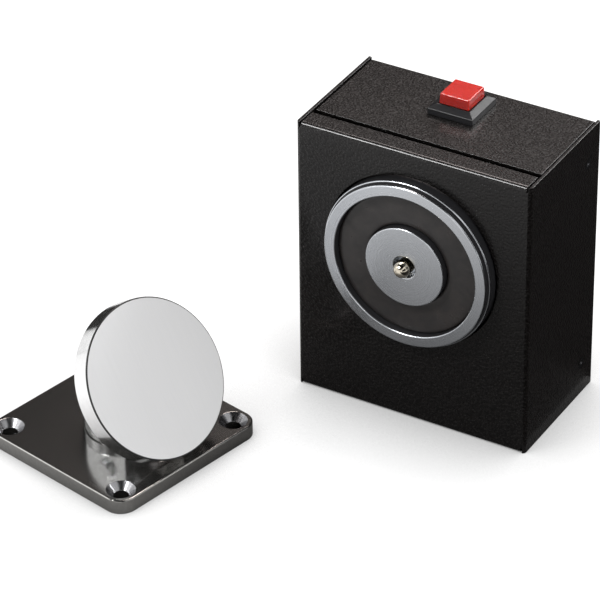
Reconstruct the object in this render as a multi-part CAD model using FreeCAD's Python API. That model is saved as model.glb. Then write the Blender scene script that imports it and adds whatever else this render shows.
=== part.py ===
import FreeCAD, Part
import math
import os

# Electromagnetic door holder.
# A wall magnet in a folded steel housing, with a release button on top, and the
# armature that goes on the door: a nickel-plated disc that tilts and turns on a square
# base plate. All sizes are in millimetres, +Z is up and the wall is on the +Y side.

Vector = FreeCAD.Vector
ORIGIN = Vector(0, 0, 0)
X_AXIS = Vector(1, 0, 0)
Y_AXIS = Vector(0, 1, 0)
Z_AXIS = Vector(0, 0, 1)

# Clearances
SEAT_GAP = 0.05          # between pieces fixed to each other round a shaft or a wall
RUNNING_GAP = 0.05       # all round a pin or shaft that turns or slides in its hole
REST_GAP = 0.10          # in front of a stop that a moving piece rests against
SLIP_GAP = 0.30          # between moving pieces that pass each other

# Housing sheets
HOUSING_WIDTH = 92.0
HOUSING_DEPTH = 52.0
HOUSING_HEIGHT = 110.0
SHEET = 1.2
BEND_INNER = 0.5         # inside radius of every bend
BEND_RELIEF = 0.4        # notch below a short flange's bend
SHEET_GAP = 0.6          # between two sheets that lie side by side
COVER_FLANGE = 8.2       # depth of the cover's top and bottom flanges
FRONT_SLOT = 2.7         # open slot between the cover's flange and the base's plate
TOP_RECESS = 0.4         # the base's top plate lies this far below the cover's edge
BOTTOM_RECESS = 1.4      # the same below, deep enough for the grommet's rim
SIDE_TAB = 14.0          # depth of the base's side flanges

# Screws in the sides of the cover
COVER_SCREW_D = 2.5
COVER_SCREW_HEAD_D = 4.4
COVER_SCREW_LENGTH = 5.0
COVER_SCREW_FROM_REAR = 8.6
COVER_SCREW_FROM_END = 13.2
COVER_SCREW_SLOT = 0.6   # width of each arm of the cross recess
COVER_SCREW_CROSS = 2.4  # length of each arm
TAB_COLLAR_HEIGHT = 1.6  # drawn collar that holds the thread
TAB_COLLAR_WALL = 0.9

# Holes that fix the base to the wall
WALL_HOLE_D = 5.0
WALL_HOLE_FROM_SIDE = 10.0
WALL_HOLE_FROM_END = 12.0

# Magnet pot
MAGNET_FROM_TOP = 43.0   # centre below the housing's top edge
POLE_PROUD = 5.3         # pole face in front of the cover
POLE_R = 32.0
POLE_RING = 4.2          # width of the outer pole
CORE_R = 15.4
POT_STEP = 0.9           # the pot's body is this much wider than its pole face
POT_LIP = 1.9            # depth of the narrower lip
POT_DEPTH = 30.0
POT_FLOOR = 8.0          # iron behind the ring groove for the coil
POLE_CHAMFER = 0.3
POT_CHAMFER = 0.5
COVER_HOLE_GAP = 0.7     # round the pot in the cover's front
LEAD_HOLE_R = 3.0        # hole through the pot's floor
LEAD_HOLE_FROM_CORE = 6.0

# Coil
BOBBIN_WALL = 1.2
WINDING_FROM_RIM = 0.6   # the winding ends this far inside the bobbin's rim
RESIN_RECESS = 2.6       # resin below the pole face
RESIN_DEPTH = 2.6
RESIN_GROOVE = 0.35      # shrinkage groove along both edges of the resin

# Ejector pin in the magnet's core
CORE_BORE_D = 8.4
CORE_BORE_CHAMFER = 0.3
CORE_BORE_DEPTH = 18.0
EJECTOR_D = 6.0
EJECTOR_PROUD = 4.4      # travel of the pin, and how far it stands out
EJECTOR_COLLAR_D = 7.6
EJECTOR_COLLAR = 1.5
EJECTOR_TAIL_D = 3.4
EJECTOR_TAIL = 4.0
BUSH_SETBACK = 4.0       # front of the guide bush below the pole face
BUSH_LENGTH = 5.0
EJECTOR_SPRING_WIRE = 0.8
EJECTOR_SPRING_TURNS = 3.0

# Magnet fixing
STUD_D = 8.0
STUD_GRIP = 9.0          # length of stud in the pot
STUD_FLANGE = 1.5
SPACER_D = 16.0
SPACER_BORE_GAP = 0.3
LOCK_WASHER_D = 14.8
LOCK_WASHER = 2.0
LOCK_WASHER_SPLIT = 0.8

# Push button, measured from the top plate
BUTTON_PLACE = 0.3514    # share of the free depth behind the magnet that is before the switch
BEZEL_SIDE = 17.8
BEZEL_LIP = 2.3
BEZEL_SLOPE = 1.5        # height of the sloping part
BEZEL_RIM = 0.3          # flat rim round the cap
CAP_SIDE = 11.8
CAP_TAPER = 0.2          # the cap's top is narrower by this much on each side
CAP_RISE = 3.85          # cap above the bezel
CAP_WALL = 1.2
CAP_SKIRT = 4.6          # skirt below the bezel's top
CAP_ROUND = 0.45
BUTTON_TRAVEL = 2.0
SWITCH_WALL = 1.3
SWITCH_DEPTH = 13.0      # switch body below the top plate
SWITCH_CORNER = 0.8
SWITCH_CUTOUT_GAP = 0.15
SWITCH_FLOOR = 1.5
SNAP_WIDTH = 5.0
SNAP_HEIGHT = 3.0
SNAP_REACH = 0.9
STEM_D = 4.0
STEM_TIP_D = 2.8
CONTACT_DEPTH = 6.0      # fixed contacts below the top plate
CONTACT_SHEET = 0.5
CONTACT_REACH = 1.7      # length of a fixed contact's inner arm
TERMINAL_SPREAD = 9.7    # between the two terminal blades
TERMINAL_WIDTH = 3.0
TERMINAL_TAIL = 5.0      # blade below the switch body
BRIDGE_END_GAP = 0.4
BUTTON_SPRING_WIRE = 0.4
BUTTON_SPRING_TURNS = 3.0

# Cable grommet in the bottom plate
GROMMET_FROM_SIDE = 16.0
GROMMET_FROM_REAR = 20.0
GROMMET_BORE_D = 6.0
GROMMET_WAIST = 1.5      # rubber between the bore and the plate
GROMMET_LIP = 1.7        # how far the lips reach over the plate
GROMMET_OUTER = 1.0
GROMMET_INNER = 1.6

# Circuit board, on spacers on the back plate
BOARD_WIDTH = 46.0
BOARD_HEIGHT = 24.0
BOARD = 1.6
BOARD_SHIFT = -5.0       # sideways from the housing's middle
BOARD_BOTTOM = 7.0
BOARD_HOLE_INSET = 4.0
BOARD_SPACER = 5.0
BOARD_SPACER_FLATS = 5.0
BOARD_SCREW_D = 3.0
BOARD_SCREW_HEAD_D = 5.4
BOARD_SCREW_HEAD = 1.8
BOARD_SCREW_LENGTH = 5.5
TERMINAL_BLOCK_PITCH = 5.08
TERMINAL_BLOCK_POLES = 2
TERMINAL_BLOCK_DEPTH = 9.0
TERMINAL_BLOCK_HEIGHT = 10.0
TERMINAL_BLOCK_FROM_RIGHT = 10.0
CLAMP_SCREW_D = 3.2
CLAMP_ENTRY = 2.8
DIODE_D = 2.8
DIODE_LENGTH = 5.2
DIODE_LEAD_D = 0.7
DIODE_SPAN = 9.0
LEAD_D = 1.5
LEAD_BEND = 3.0          # radius of the leads' bends
COIL_LEAD_SPREAD = 2.6
SWITCH_LEAD_SPREAD = 20.0
SWITCH_LEAD_BULGE = 13.0  # sideways, where the leads pass the magnet's spacer
LEAD_FROM_BOARD_TOP = 3.0

# Armature base plate
PLATE_SIDE = 69.6
PLATE = 5.6
PLATE_CORNER = 6.5
PLATE_CHAMFER = 0.45
PLATE_HOLE_D = 5.4
PLATE_SINK_D = 10.5
PLATE_HOLE_INSET = 6.8

# Armature disc
DISC_R = 28.85
DISC = 8.1
DISC_CHAMFER = 0.3
DISC_FROM_PIVOT = 15.0   # back face to the pivot
DISC_TILT = 56.0         # from the plate's normal, where the rim rests on the plate
DISC_REST_GAP = 0.3

# Armature pivot
THRUST_WASHER = 0.8
FORK_R = 13.2
FORK_BASE = 5.0
EAR = 4.2
EAR_R = 10.2
LUG = 7.6
LUG_R = 6.5
LUG_SIDE_GAP = 0.2
BOSS_R = 7.0
BOSS_FROM_PIVOT = 11.0
BOSS_INSERT = 4.0
PIVOT_PIN_D = 5.0
PIVOT_PIN_HEAD_D = 7.6
PIVOT_PIN_HEAD = 2.0
PIVOT_PIN_TAIL = 1.6
CLIP = 0.7
CLIP_D = 8.6
CLIP_GROOVE = 0.5        # depth of the groove
CLIP_OPENING = 50.0      # degrees left open
PIVOT_SCREW_D = 6.0
PIVOT_SHOULDER_D = 8.0
PIVOT_HEAD_D = 14.0
PIVOT_HEAD_RECESS = 0.3

# Where the armature stands beside the housing
ARMATURE_LEFT = 83.8     # its centre to the left of the housing's
ARMATURE_FORWARD = 86.1  # its centre in front of the housing's
ARMATURE_TURN = 77.04    # degrees, about +Z
DISC_TURN = -1.5         # the fork's turn on the plate, as it was left

# Values that follow from the sizes above
BEND_OUTER = BEND_INNER + SHEET
FRONT_Y = -HOUSING_DEPTH / 2
REAR_Y = HOUSING_DEPTH / 2
BASE_INSIDE_Y = REAR_Y - SHEET
POLE_Y = FRONT_Y - POLE_PROUD
POT_REAR_Y = POLE_Y + POT_DEPTH
MAGNET_HEIGHT = HOUSING_HEIGHT - MAGNET_FROM_TOP
COIL_DEPTH = POT_DEPTH - POT_FLOOR
BASE_WIDTH = HOUSING_WIDTH - 2 * (SHEET + SHEET_GAP)
BASE_HEIGHT = HOUSING_HEIGHT - TOP_RECESS - BOTTOM_RECESS
BASE_PLATE_DEPTH = HOUSING_DEPTH - COVER_FLANGE - FRONT_SLOT
TOP_PLATE_Z = HOUSING_HEIGHT - TOP_RECESS
COVER_SCREW_HEAD = (COVER_SCREW_HEAD_D - COVER_SCREW_D) / 2
RING_INNER_R = POLE_R - POLE_RING
POT_R = POLE_R + POT_STEP
LEAD_HOLE_Z = MAGNET_HEIGHT - CORE_R - LEAD_HOLE_FROM_CORE
STUD_TIP = POT_DEPTH - STUD_GRIP
BACK_PLATE_DEPTH = BASE_INSIDE_Y - POLE_Y
BUSH_END = BUSH_SETBACK + BUSH_LENGTH
COLLAR_START = BUSH_END + REST_GAP
COLLAR_END = COLLAR_START + EJECTOR_COLLAR
BEZEL_TOP = BEZEL_LIP + BEZEL_SLOPE
CAP_HOLE = CAP_SIDE + 2 * SLIP_GAP
SWITCH_SIDE = CAP_HOLE + 2 * SWITCH_WALL
SWITCH_ROOM = BASE_INSIDE_Y - POT_REAR_Y - SWITCH_SIDE
SWITCH_Y = POT_REAR_Y + SWITCH_SIDE / 2 + BUTTON_PLACE * SWITCH_ROOM
BRIDGE_TOP = -CONTACT_DEPTH - CONTACT_SHEET - REST_GAP
BRIDGE_BOTTOM = BRIDGE_TOP - CONTACT_SHEET
SWITCH_FLOOR_TOP = -SWITCH_DEPTH + SWITCH_FLOOR
GROMMET_HOLE_R = GROMMET_BORE_D / 2 + GROMMET_WAIST
BOARD_BACK_Y = BASE_INSIDE_Y - BOARD_SPACER
BOARD_FRONT_Y = BOARD_BACK_Y - BOARD
BOARD_TOP = BOARD_BOTTOM + BOARD_HEIGHT
LEAD_END_Y = BOARD_FRONT_Y - SEAT_GAP
LEAD_END_Z = BOARD_TOP - LEAD_FROM_BOARD_TOP
LUG_SLOT = LUG + 2 * LUG_SIDE_GAP
FORK_BOTTOM_Z = PLATE + RUNNING_GAP + THRUST_WASHER
FORK_TOP_Z = FORK_BOTTOM_Z + FORK_BASE
DISC_REACH = DISC_R * math.sin(math.radians(DISC_TILT))
DISC_LIFT = (DISC_FROM_PIVOT + DISC_CHAMFER) * math.cos(math.radians(DISC_TILT))
PIVOT_Z = PLATE + DISC_REST_GAP + DISC_REACH - DISC_LIFT
PLATE_TURN_SPAN = abs(math.cos(math.radians(ARMATURE_TURN))) + abs(math.sin(math.radians(ARMATURE_TURN)))
PLATE_REACH = (PLATE_SIDE / 2 - PLATE_CORNER) * PLATE_TURN_SPAN + PLATE_CORNER
HOUSING_X = (ARMATURE_LEFT + PLATE_REACH - HOUSING_WIDTH / 2) / 2
HOUSING_Y = (ARMATURE_FORWARD + PLATE_REACH - HOUSING_DEPTH / 2) / 2


# Building blocks

def block(x_range, y_range, z_range):
    """A box between three pairs of limits."""
    size = [high - low for low, high in (x_range, y_range, z_range)]
    return Part.makeBox(*size, Vector(x_range[0], y_range[0], z_range[0]))


def rod(radius, start, end):
    """A round bar from one point to another."""
    along = end - start
    return Part.makeCylinder(radius, along.Length, start, along)


def turned(outline):
    """A lathe form round Z from its closed half section of (radius, height) corners."""
    corners = [Vector(radius, 0, height) for radius, height in outline]
    section = Part.Face(Part.makePolygon(corners + corners[:1]))
    return section.revolve(ORIGIN, Z_AXIS, 360)


def rounded_square(side, corner, bottom, height):
    """A square bar with rounded upright edges, standing on the level bottom."""
    bar = block((-side / 2, side / 2), (-side / 2, side / 2), (bottom, bottom + height))
    upright = [edge for edge in bar.Edges if abs(edge.tangentAt(edge.FirstParameter).z) > 0.99]
    return bar.makeFillet(corner, upright)


def frustum(low_side, high_side, bottom, height):
    """A square bar that narrows evenly from its bottom to its top."""
    rings = []
    for side, level in ((low_side, bottom), (high_side, bottom + height)):
        half = side / 2
        corners = [Vector(-half, -half, level), Vector(half, -half, level)]
        corners += [Vector(half, half, level), Vector(-half, half, level)]
        rings.append(Part.makePolygon(corners + corners[:1]))
    return Part.makeLoft(rings, True, True)


def hexagon(flats, start, length):
    """A hexagonal bar that runs along +Y from its start."""
    radius = flats / math.sqrt(3)
    angles = [math.radians(60 * step) for step in range(7)]
    corners = [start + Vector(radius * math.cos(a), 0, radius * math.sin(a)) for a in angles]
    return Part.Face(Part.makePolygon(corners)).extrude(Vector(0, length, 0))


def swept(path, radius, start, direction):
    """A round wire along a path."""
    ring = Part.Wire(Part.makeCircle(radius, start, direction))
    return Part.Wire(path).makePipeShell([ring], True, True)


def bent_path(points, bend):
    """Straight runs through the points, joined by arcs of the bend's radius."""
    edges = []
    start = points[0]
    for before, corner, after in zip(points, points[1:], points[2:]):
        back = (before - corner).normalize()
        ahead = (after - corner).normalize()
        half = back.getAngle(ahead) / 2
        first = corner + back * (bend / math.tan(half))
        last = corner + ahead * (bend / math.tan(half))
        inward = (back + ahead).normalize()
        middle = corner + inward * (bend / math.sin(half) - bend)
        edges.append(Part.makeLine(start, first))
        edges.append(Part.Arc(first, middle, last).toShape())
        start = last
    return edges + [Part.makeLine(start, points[-1])]


def lead(points):
    """An insulated wire, bent at each of its middle points."""
    return swept(bent_path(points, LEAD_BEND), LEAD_D / 2, points[0], points[1] - points[0])


def coil_spring(mean_radius, wire, length, turns):
    """A compression spring round Z, from level 0 up to its length."""
    climb = length - wire
    helix = Part.makeHelix(climb / turns, climb, mean_radius)
    helix.translate(Vector(0, 0, wire / 2))
    start = Vector(mean_radius, 0, wire / 2)
    return swept(helix.Edges, wire / 2, start, Vector(0, 1, 0))


def moved(shape, x=0.0, y=0.0, z=0.0):
    """A copy of a shape, moved."""
    copy = shape.copy()
    copy.translate(Vector(x, y, z))
    return copy


def turned_about(shape, axis, degrees, centre=ORIGIN):
    """A copy of a shape, turned about an axis."""
    copy = shape.copy()
    copy.rotate(centre, axis, degrees)
    return copy


def mirrored_pair(shape):
    """A shape and its mirror image on the other side of the housing's middle."""
    return [shape, shape.mirror(ORIGIN, X_AXIS)]


def group(shapes):
    """Identical separate pieces that share one node."""
    return Part.makeCompound(shapes)


def behind_pole(shape):
    """Places a form built round Z, its heights measured behind the pole face."""
    lying = turned_about(shape, X_AXIS, -90)
    return moved(lying, y=POLE_Y, z=MAGNET_HEIGHT)


def at_button(shape):
    """Places a form built round Z on the top plate's outer face."""
    return moved(shape, y=SWITCH_Y, z=TOP_PLATE_Z)


# Folded sheets

def bent_sheet(length, leg, flange):
    """An angle of sheet along X: an upright leg at y = 0 and a flange back at z = 0."""
    half = length / 2
    outer = block((-half, half), (0, flange), (-leg, 0))
    outer = outer.makeFillet(BEND_OUTER, [edge_along(outer, 0, 0)])
    inner = block((-half - 1, half + 1), (SHEET, flange + 1), (-leg - 1, -SHEET))
    inner = inner.makeFillet(BEND_INNER, [edge_along(inner, SHEET, -SHEET)])
    return outer.cut(inner)


def edge_along(shape, y, z):
    """The edge of a box that runs along X at the given y and z."""
    for edge in shape.Edges:
        middle = edge.CenterOfMass
        if abs(middle.y - y) < 1e-6 and abs(middle.z - z) < 1e-6:
            return edge
    raise ValueError("the box has no such edge")


def channel(width, depth, height):
    """A sheet channel along Z, its web at y = 0 and its sides back to the depth."""
    outer = rounded_front_box(width, depth, height, 0, BEND_OUTER)
    inner = rounded_front_box(width - 2 * SHEET, depth + 1, height + 2, SHEET, BEND_INNER)
    return outer.cut(inner)


def rounded_front_box(width, depth, height, front, bend):
    """A box centred on x and z, with its two upright front edges rounded."""
    half = width / 2
    bar = block((-half, half), (front, depth), (-height / 2, height / 2))
    rounded = []
    for edge in bar.Edges:
        middle = edge.CenterOfMass
        upright = abs(edge.tangentAt(edge.FirstParameter).z) > 0.99
        if upright and abs(middle.y - front) < 1e-6:
            rounded.append(edge)
    return bar.makeFillet(bend, rounded)


def folded_tray(width, height, side_depth, flange_depth):
    """A panel at y = 0 with two full-length sides and two shorter end flanges between them."""
    flange_length = width - 2 * (SHEET + SHEET_GAP)
    leg = BEND_OUTER + 2 * BEND_RELIEF
    notch_half = flange_length / 2 + SHEET_GAP
    notch_top = height / 2 + 1
    notch_bottom = height / 2 - BEND_OUTER - BEND_RELIEF
    tray = channel(width, side_depth, height)
    for turn in (0, 180):
        notch = block((-notch_half, notch_half), (-1, BEND_OUTER + 1), (notch_bottom, notch_top))
        tray = tray.cut(turned_about(notch, Y_AXIS, turn))
    for turn in (0, 180):
        flange = moved(bent_sheet(flange_length, leg, flange_depth), z=height / 2)
        tray = tray.fuse(turned_about(flange, Y_AXIS, turn))
    return tray.removeSplitter()


def cover_screw_places():
    """Heights of the two cover screws in each side."""
    return (COVER_SCREW_FROM_END, HOUSING_HEIGHT - COVER_SCREW_FROM_END)


def cover_screw_hole():
    """The cutter for one countersunk hole on the right side, at height 0."""
    y = REAR_Y - COVER_SCREW_FROM_REAR
    face = HOUSING_WIDTH / 2
    shank_r = COVER_SCREW_D / 2 + SEAT_GAP
    head_r = COVER_SCREW_HEAD_D / 2 + SEAT_GAP
    shank = rod(shank_r, Vector(face - 2 * SHEET, y, 0), Vector(face + 1, y, 0))
    sink = Part.makeCone(head_r, shank_r, COVER_SCREW_HEAD, Vector(face, y, 0), Vector(-1, 0, 0))
    return shank.fuse(sink)


def housing_cover():
    """Front panel, both sides and the short top and bottom flanges, folded from one sheet."""
    cover = folded_tray(HOUSING_WIDTH, HOUSING_HEIGHT, HOUSING_DEPTH, COVER_FLANGE)
    cover = moved(cover, y=FRONT_Y, z=HOUSING_HEIGHT / 2)
    hole_start = Vector(0, FRONT_Y - 1, MAGNET_HEIGHT)
    hole_end = Vector(0, FRONT_Y + SHEET + 1, MAGNET_HEIGHT)
    cover = cover.cut(rod(POT_R + COVER_HOLE_GAP, hole_start, hole_end))
    for height in cover_screw_places():
        for hole in mirrored_pair(moved(cover_screw_hole(), z=height)):
            cover = cover.cut(hole)
    return cover


def tab_collar():
    """The drawn collar and its threaded hole in the base's right side flange, at height 0."""
    y = REAR_Y - COVER_SCREW_FROM_REAR
    outside = BASE_WIDTH / 2
    inside = outside - SHEET
    hole_r = COVER_SCREW_D / 2 + SEAT_GAP
    end = Vector(inside - TAB_COLLAR_HEIGHT, y, 0)
    collar = rod(hole_r + TAB_COLLAR_WALL, Vector(outside - SHEET / 2, y, 0), end)
    hole = rod(hole_r, Vector(outside + 1, y, 0), end - Vector(1, 0, 0))
    return collar, hole


def wall_hole_places():
    """The four (x, z) places where the base is screwed to the wall."""
    x = HOUSING_WIDTH / 2 - WALL_HOLE_FROM_SIDE
    heights = (WALL_HOLE_FROM_END, HOUSING_HEIGHT - WALL_HOLE_FROM_END)
    return [(side * x, z) for side in (-1, 1) for z in heights]


def housing_base():
    """Back, top and bottom plates and the narrow side flanges, folded from one sheet."""
    base = folded_tray(BASE_HEIGHT, BASE_WIDTH, BASE_PLATE_DEPTH, SIDE_TAB)
    base = turned_about(base, Vector(1, 0, 1), 180)
    base = moved(base, y=REAR_Y, z=BOTTOM_RECESS + BASE_HEIGHT / 2)
    for height in cover_screw_places():
        collar, hole = tab_collar()
        for part in mirrored_pair(moved(collar, z=height)):
            base = base.fuse(part)
        for part in mirrored_pair(moved(hole, z=height)):
            base = base.cut(part)
    for x, z in wall_hole_places():
        base = base.cut(rod(WALL_HOLE_D / 2, Vector(x, BASE_INSIDE_Y - 1, z), Vector(x, REAR_Y + 1, z)))
    opening = SWITCH_SIDE + 2 * SWITCH_CUTOUT_GAP
    base = base.cut(at_button(rounded_square(opening, SWITCH_CORNER, -2 * SHEET, 3 * SHEET)))
    x, y = grommet_place()
    base = base.cut(rod(GROMMET_HOLE_R, Vector(x, y, 0), Vector(x, y, BOTTOM_RECESS + SHEET + 1)))
    return base.removeSplitter()


def cross_recess(width, length, depth):
    """A cross-shaped recess, cut down from level 0."""
    arm = block((-length / 2, length / 2), (-width / 2, width / 2), (-depth, 1))
    return arm.fuse(turned_about(arm, Z_AXIS, 90))


def cover_screws():
    """Four small countersunk screws with cross recesses."""
    shank_r = COVER_SCREW_D / 2
    head_r = COVER_SCREW_HEAD_D / 2
    outline = [(0, 0), (head_r, 0), (shank_r, -COVER_SCREW_HEAD)]
    outline += [(shank_r, 0.4 - COVER_SCREW_LENGTH), (shank_r - 0.4, -COVER_SCREW_LENGTH)]
    outline += [(0, -COVER_SCREW_LENGTH)]
    screw = turned(outline).cut(cross_recess(COVER_SCREW_SLOT, COVER_SCREW_CROSS, COVER_SCREW_HEAD))
    screw = turned_about(turned_about(screw, Z_AXIS, 30), Y_AXIS, 90)
    screws = []
    for height in cover_screw_places():
        placed = moved(screw, HOUSING_WIDTH / 2, REAR_Y - COVER_SCREW_FROM_REAR, height)
        screws += mirrored_pair(placed)
    return group(screws)


# Magnet, its heights measured behind the pole face

def magnet_pot():
    """The turned iron pot: outer pole, core and floor, with a bore and a ring groove."""
    bore_r = CORE_BORE_D / 2
    thread_r = STUD_D / 2 + SEAT_GAP
    outline = [(bore_r + CORE_BORE_CHAMFER, 0), (CORE_R - POLE_CHAMFER, 0), (CORE_R, POLE_CHAMFER)]
    outline += [(CORE_R, COIL_DEPTH), (RING_INNER_R, COIL_DEPTH), (RING_INNER_R, POLE_CHAMFER)]
    outline += [(RING_INNER_R + POLE_CHAMFER, 0), (POLE_R - POLE_CHAMFER, 0), (POLE_R, POLE_CHAMFER)]
    outline += [(POLE_R, POT_LIP), (POT_R - POLE_CHAMFER, POT_LIP), (POT_R, POT_LIP + POLE_CHAMFER)]
    outline += [(POT_R, POT_DEPTH - POT_CHAMFER), (POT_R - POT_CHAMFER, POT_DEPTH)]
    outline += [(thread_r, POT_DEPTH), (thread_r, CORE_BORE_DEPTH), (bore_r, CORE_BORE_DEPTH)]
    outline += [(bore_r, CORE_BORE_CHAMFER)]
    pot = behind_pole(turned(outline))
    hole_start = Vector(0, POLE_Y + COIL_DEPTH - 1, LEAD_HOLE_Z)
    hole_end = Vector(0, POLE_Y + POT_DEPTH + 1, LEAD_HOLE_Z)
    return pot.cut(rod(LEAD_HOLE_R, hole_start, hole_end))


def coil_bobbin():
    """The moulded former: a tube with a flange at each end."""
    inner_r = CORE_R + SEAT_GAP
    tube_r = inner_r + BOBBIN_WALL
    rim_r = RING_INNER_R - SEAT_GAP
    front = RESIN_RECESS + RESIN_DEPTH + SEAT_GAP
    rear = COIL_DEPTH - SEAT_GAP
    outline = [(inner_r, front), (rim_r, front), (rim_r, front + BOBBIN_WALL)]
    outline += [(tube_r, front + BOBBIN_WALL), (tube_r, rear - BOBBIN_WALL)]
    outline += [(rim_r, rear - BOBBIN_WALL), (rim_r, rear), (inner_r, rear)]
    return behind_pole(turned(outline))


def coil_winding():
    """The copper winding as one ring."""
    inner_r = CORE_R + 2 * SEAT_GAP + BOBBIN_WALL
    outer_r = RING_INNER_R - WINDING_FROM_RIM
    front = RESIN_RECESS + RESIN_DEPTH + 2 * SEAT_GAP + BOBBIN_WALL
    rear = COIL_DEPTH - 2 * SEAT_GAP - BOBBIN_WALL
    return behind_pole(turned([(inner_r, front), (outer_r, front), (outer_r, rear), (inner_r, rear)]))


def coil_resin():
    """The cast resin that seals the coil, with a shrinkage groove along both edges."""
    inner_r = CORE_R + SEAT_GAP
    outer_r = RING_INNER_R - SEAT_GAP
    top = RESIN_RECESS
    groove = top + 2 * RESIN_GROOVE
    outline = [(inner_r, groove), (inner_r + RESIN_GROOVE, top), (outer_r - RESIN_GROOVE, top)]
    outline += [(outer_r, groove), (outer_r, top + RESIN_DEPTH), (inner_r, top + RESIN_DEPTH)]
    return behind_pole(turned(outline))


def ejector_bush():
    """The threaded bush that guides the ejector pin and holds it in."""
    outer_r = CORE_BORE_D / 2 - SEAT_GAP
    inner_r = EJECTOR_D / 2 + RUNNING_GAP
    outline = [(inner_r, BUSH_SETBACK), (outer_r, BUSH_SETBACK), (outer_r, BUSH_END), (inner_r, BUSH_END)]
    return behind_pole(turned(outline))


def ejector_pin():
    """The sprung pin that pushes the armature off: domed nose, collar and tail."""
    nose_r = EJECTOR_D / 2
    tip = -EJECTOR_PROUD
    shaft = Part.makeCylinder(nose_r, COLLAR_START - tip - nose_r, Vector(0, 0, tip + nose_r))
    dome = Part.makeSphere(nose_r, Vector(0, 0, tip + nose_r))
    collar = Part.makeCylinder(EJECTOR_COLLAR_D / 2, EJECTOR_COLLAR, Vector(0, 0, COLLAR_START))
    tail = Part.makeCylinder(EJECTOR_TAIL_D / 2, EJECTOR_TAIL, Vector(0, 0, COLLAR_END))
    pin = shaft.fuse([dome, collar, tail]).removeSplitter()
    return behind_pole(pin)


def ejector_spring():
    """The spring between the stud's tip and the pin's collar."""
    start = COLLAR_END + SEAT_GAP
    length = STUD_TIP - SEAT_GAP - start
    mean_r = (EJECTOR_COLLAR_D - EJECTOR_SPRING_WIRE) / 2 - SLIP_GAP
    spring = coil_spring(mean_r, EJECTOR_SPRING_WIRE, length, EJECTOR_SPRING_TURNS)
    return behind_pole(moved(spring, z=start))


def magnet_stud():
    """The stud welded to the back plate, which the pot screws on to."""
    radius = STUD_D / 2
    flange = BACK_PLATE_DEPTH - STUD_FLANGE
    outline = [(0, STUD_TIP), (radius - 0.6, STUD_TIP), (radius, STUD_TIP + 0.6), (radius, flange)]
    outline += [(SPACER_D / 2, flange), (SPACER_D / 2, BACK_PLATE_DEPTH), (0, BACK_PLATE_DEPTH)]
    return behind_pole(turned(outline))


def magnet_spacer():
    """The tube that sets how far the magnet stands from the back plate."""
    bore_r = STUD_D / 2 + SPACER_BORE_GAP
    front = POT_DEPTH + LOCK_WASHER
    rear = BACK_PLATE_DEPTH - STUD_FLANGE
    outline = [(bore_r, front), (SPACER_D / 2, front), (SPACER_D / 2, rear), (bore_r, rear)]
    return behind_pole(turned(outline))


def lock_washer():
    """The split washer between the spacer and the pot."""
    bore_r = STUD_D / 2 + SPACER_BORE_GAP
    rim_r = LOCK_WASHER_D / 2
    front = POT_DEPTH
    rear = front + LOCK_WASHER
    ring = turned([(bore_r, front), (rim_r, front), (rim_r, rear), (bore_r, rear)])
    half_split = LOCK_WASHER_SPLIT / 2
    split = block((0, rim_r + 1), (-half_split, half_split), (front - 1, rear + 1))
    return behind_pole(ring.cut(turned_about(split, X_AXIS, 25, Vector(0, 0, (front + rear) / 2))))


# Push button, its levels measured from the top plate's outer face

def switch_housing():
    """The moulded bezel and body in one, with two snaps that hold it in the plate."""
    lip = block((-BEZEL_SIDE / 2, BEZEL_SIDE / 2), (-BEZEL_SIDE / 2, BEZEL_SIDE / 2), (0, BEZEL_LIP))
    slope = frustum(BEZEL_SIDE, CAP_HOLE + 2 * BEZEL_RIM, BEZEL_LIP, BEZEL_SLOPE)
    body = rounded_square(SWITCH_SIDE, SWITCH_CORNER, -SWITCH_DEPTH, SWITCH_DEPTH)
    housing = lip.fuse([slope, body, *mirrored_pair(switch_snap())])
    hollow = rounded_square(CAP_HOLE, SWITCH_CORNER / 2, -SWITCH_DEPTH - 1, SWITCH_DEPTH + BEZEL_TOP + 2)
    return at_button(housing.cut(hollow).removeSplitter())


def switch_snap():
    """The wedge on the right side of the switch body, just under the plate."""
    root = SWITCH_SIDE / 2
    top = -SHEET - SEAT_GAP
    corners = [Vector(root - 0.5, 0, top), Vector(root + SNAP_REACH, 0, top)]
    corners += [Vector(root + SNAP_REACH, 0, top - 0.4), Vector(root, 0, top - SNAP_HEIGHT)]
    corners += [Vector(root - 0.5, 0, top - SNAP_HEIGHT)]
    wedge = Part.Face(Part.makePolygon(corners + corners[:1])).extrude(Vector(0, SNAP_WIDTH, 0))
    return moved(wedge, y=-SNAP_WIDTH / 2)


def button_cap():
    """The red cap: a tapered square shell with rounded edges on a central stem."""
    top = BEZEL_TOP + CAP_RISE
    bottom = BEZEL_TOP - CAP_SKIRT
    crown = frustum(CAP_SIDE, CAP_SIDE - 2 * CAP_TAPER, BEZEL_TOP, CAP_RISE)
    skirt_side = (-CAP_SIDE / 2, CAP_SIDE / 2)
    skirt = block(skirt_side, skirt_side, (bottom, BEZEL_TOP))
    shell = crown.fuse(skirt)
    rounded = [edge for edge in shell.Edges if edge.CenterOfMass.z > BEZEL_TOP + CAP_RISE / 4]
    shell = shell.makeFillet(CAP_ROUND, rounded)
    inner = CAP_SIDE / 2 - CAP_TAPER - CAP_WALL
    shell = shell.cut(block((-inner, inner), (-inner, inner), (bottom - 1, top - CAP_WALL)))
    stem = Part.makeCylinder(STEM_D / 2, top - CAP_WALL / 2 - BRIDGE_TOP, Vector(0, 0, BRIDGE_TOP))
    tip_end = SWITCH_FLOOR_TOP + BUTTON_TRAVEL + SLIP_GAP
    tip = Part.makeCylinder(STEM_TIP_D / 2, BRIDGE_TOP - tip_end, Vector(0, 0, tip_end))
    return at_button(shell.fuse([stem, tip]).removeSplitter())


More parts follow.
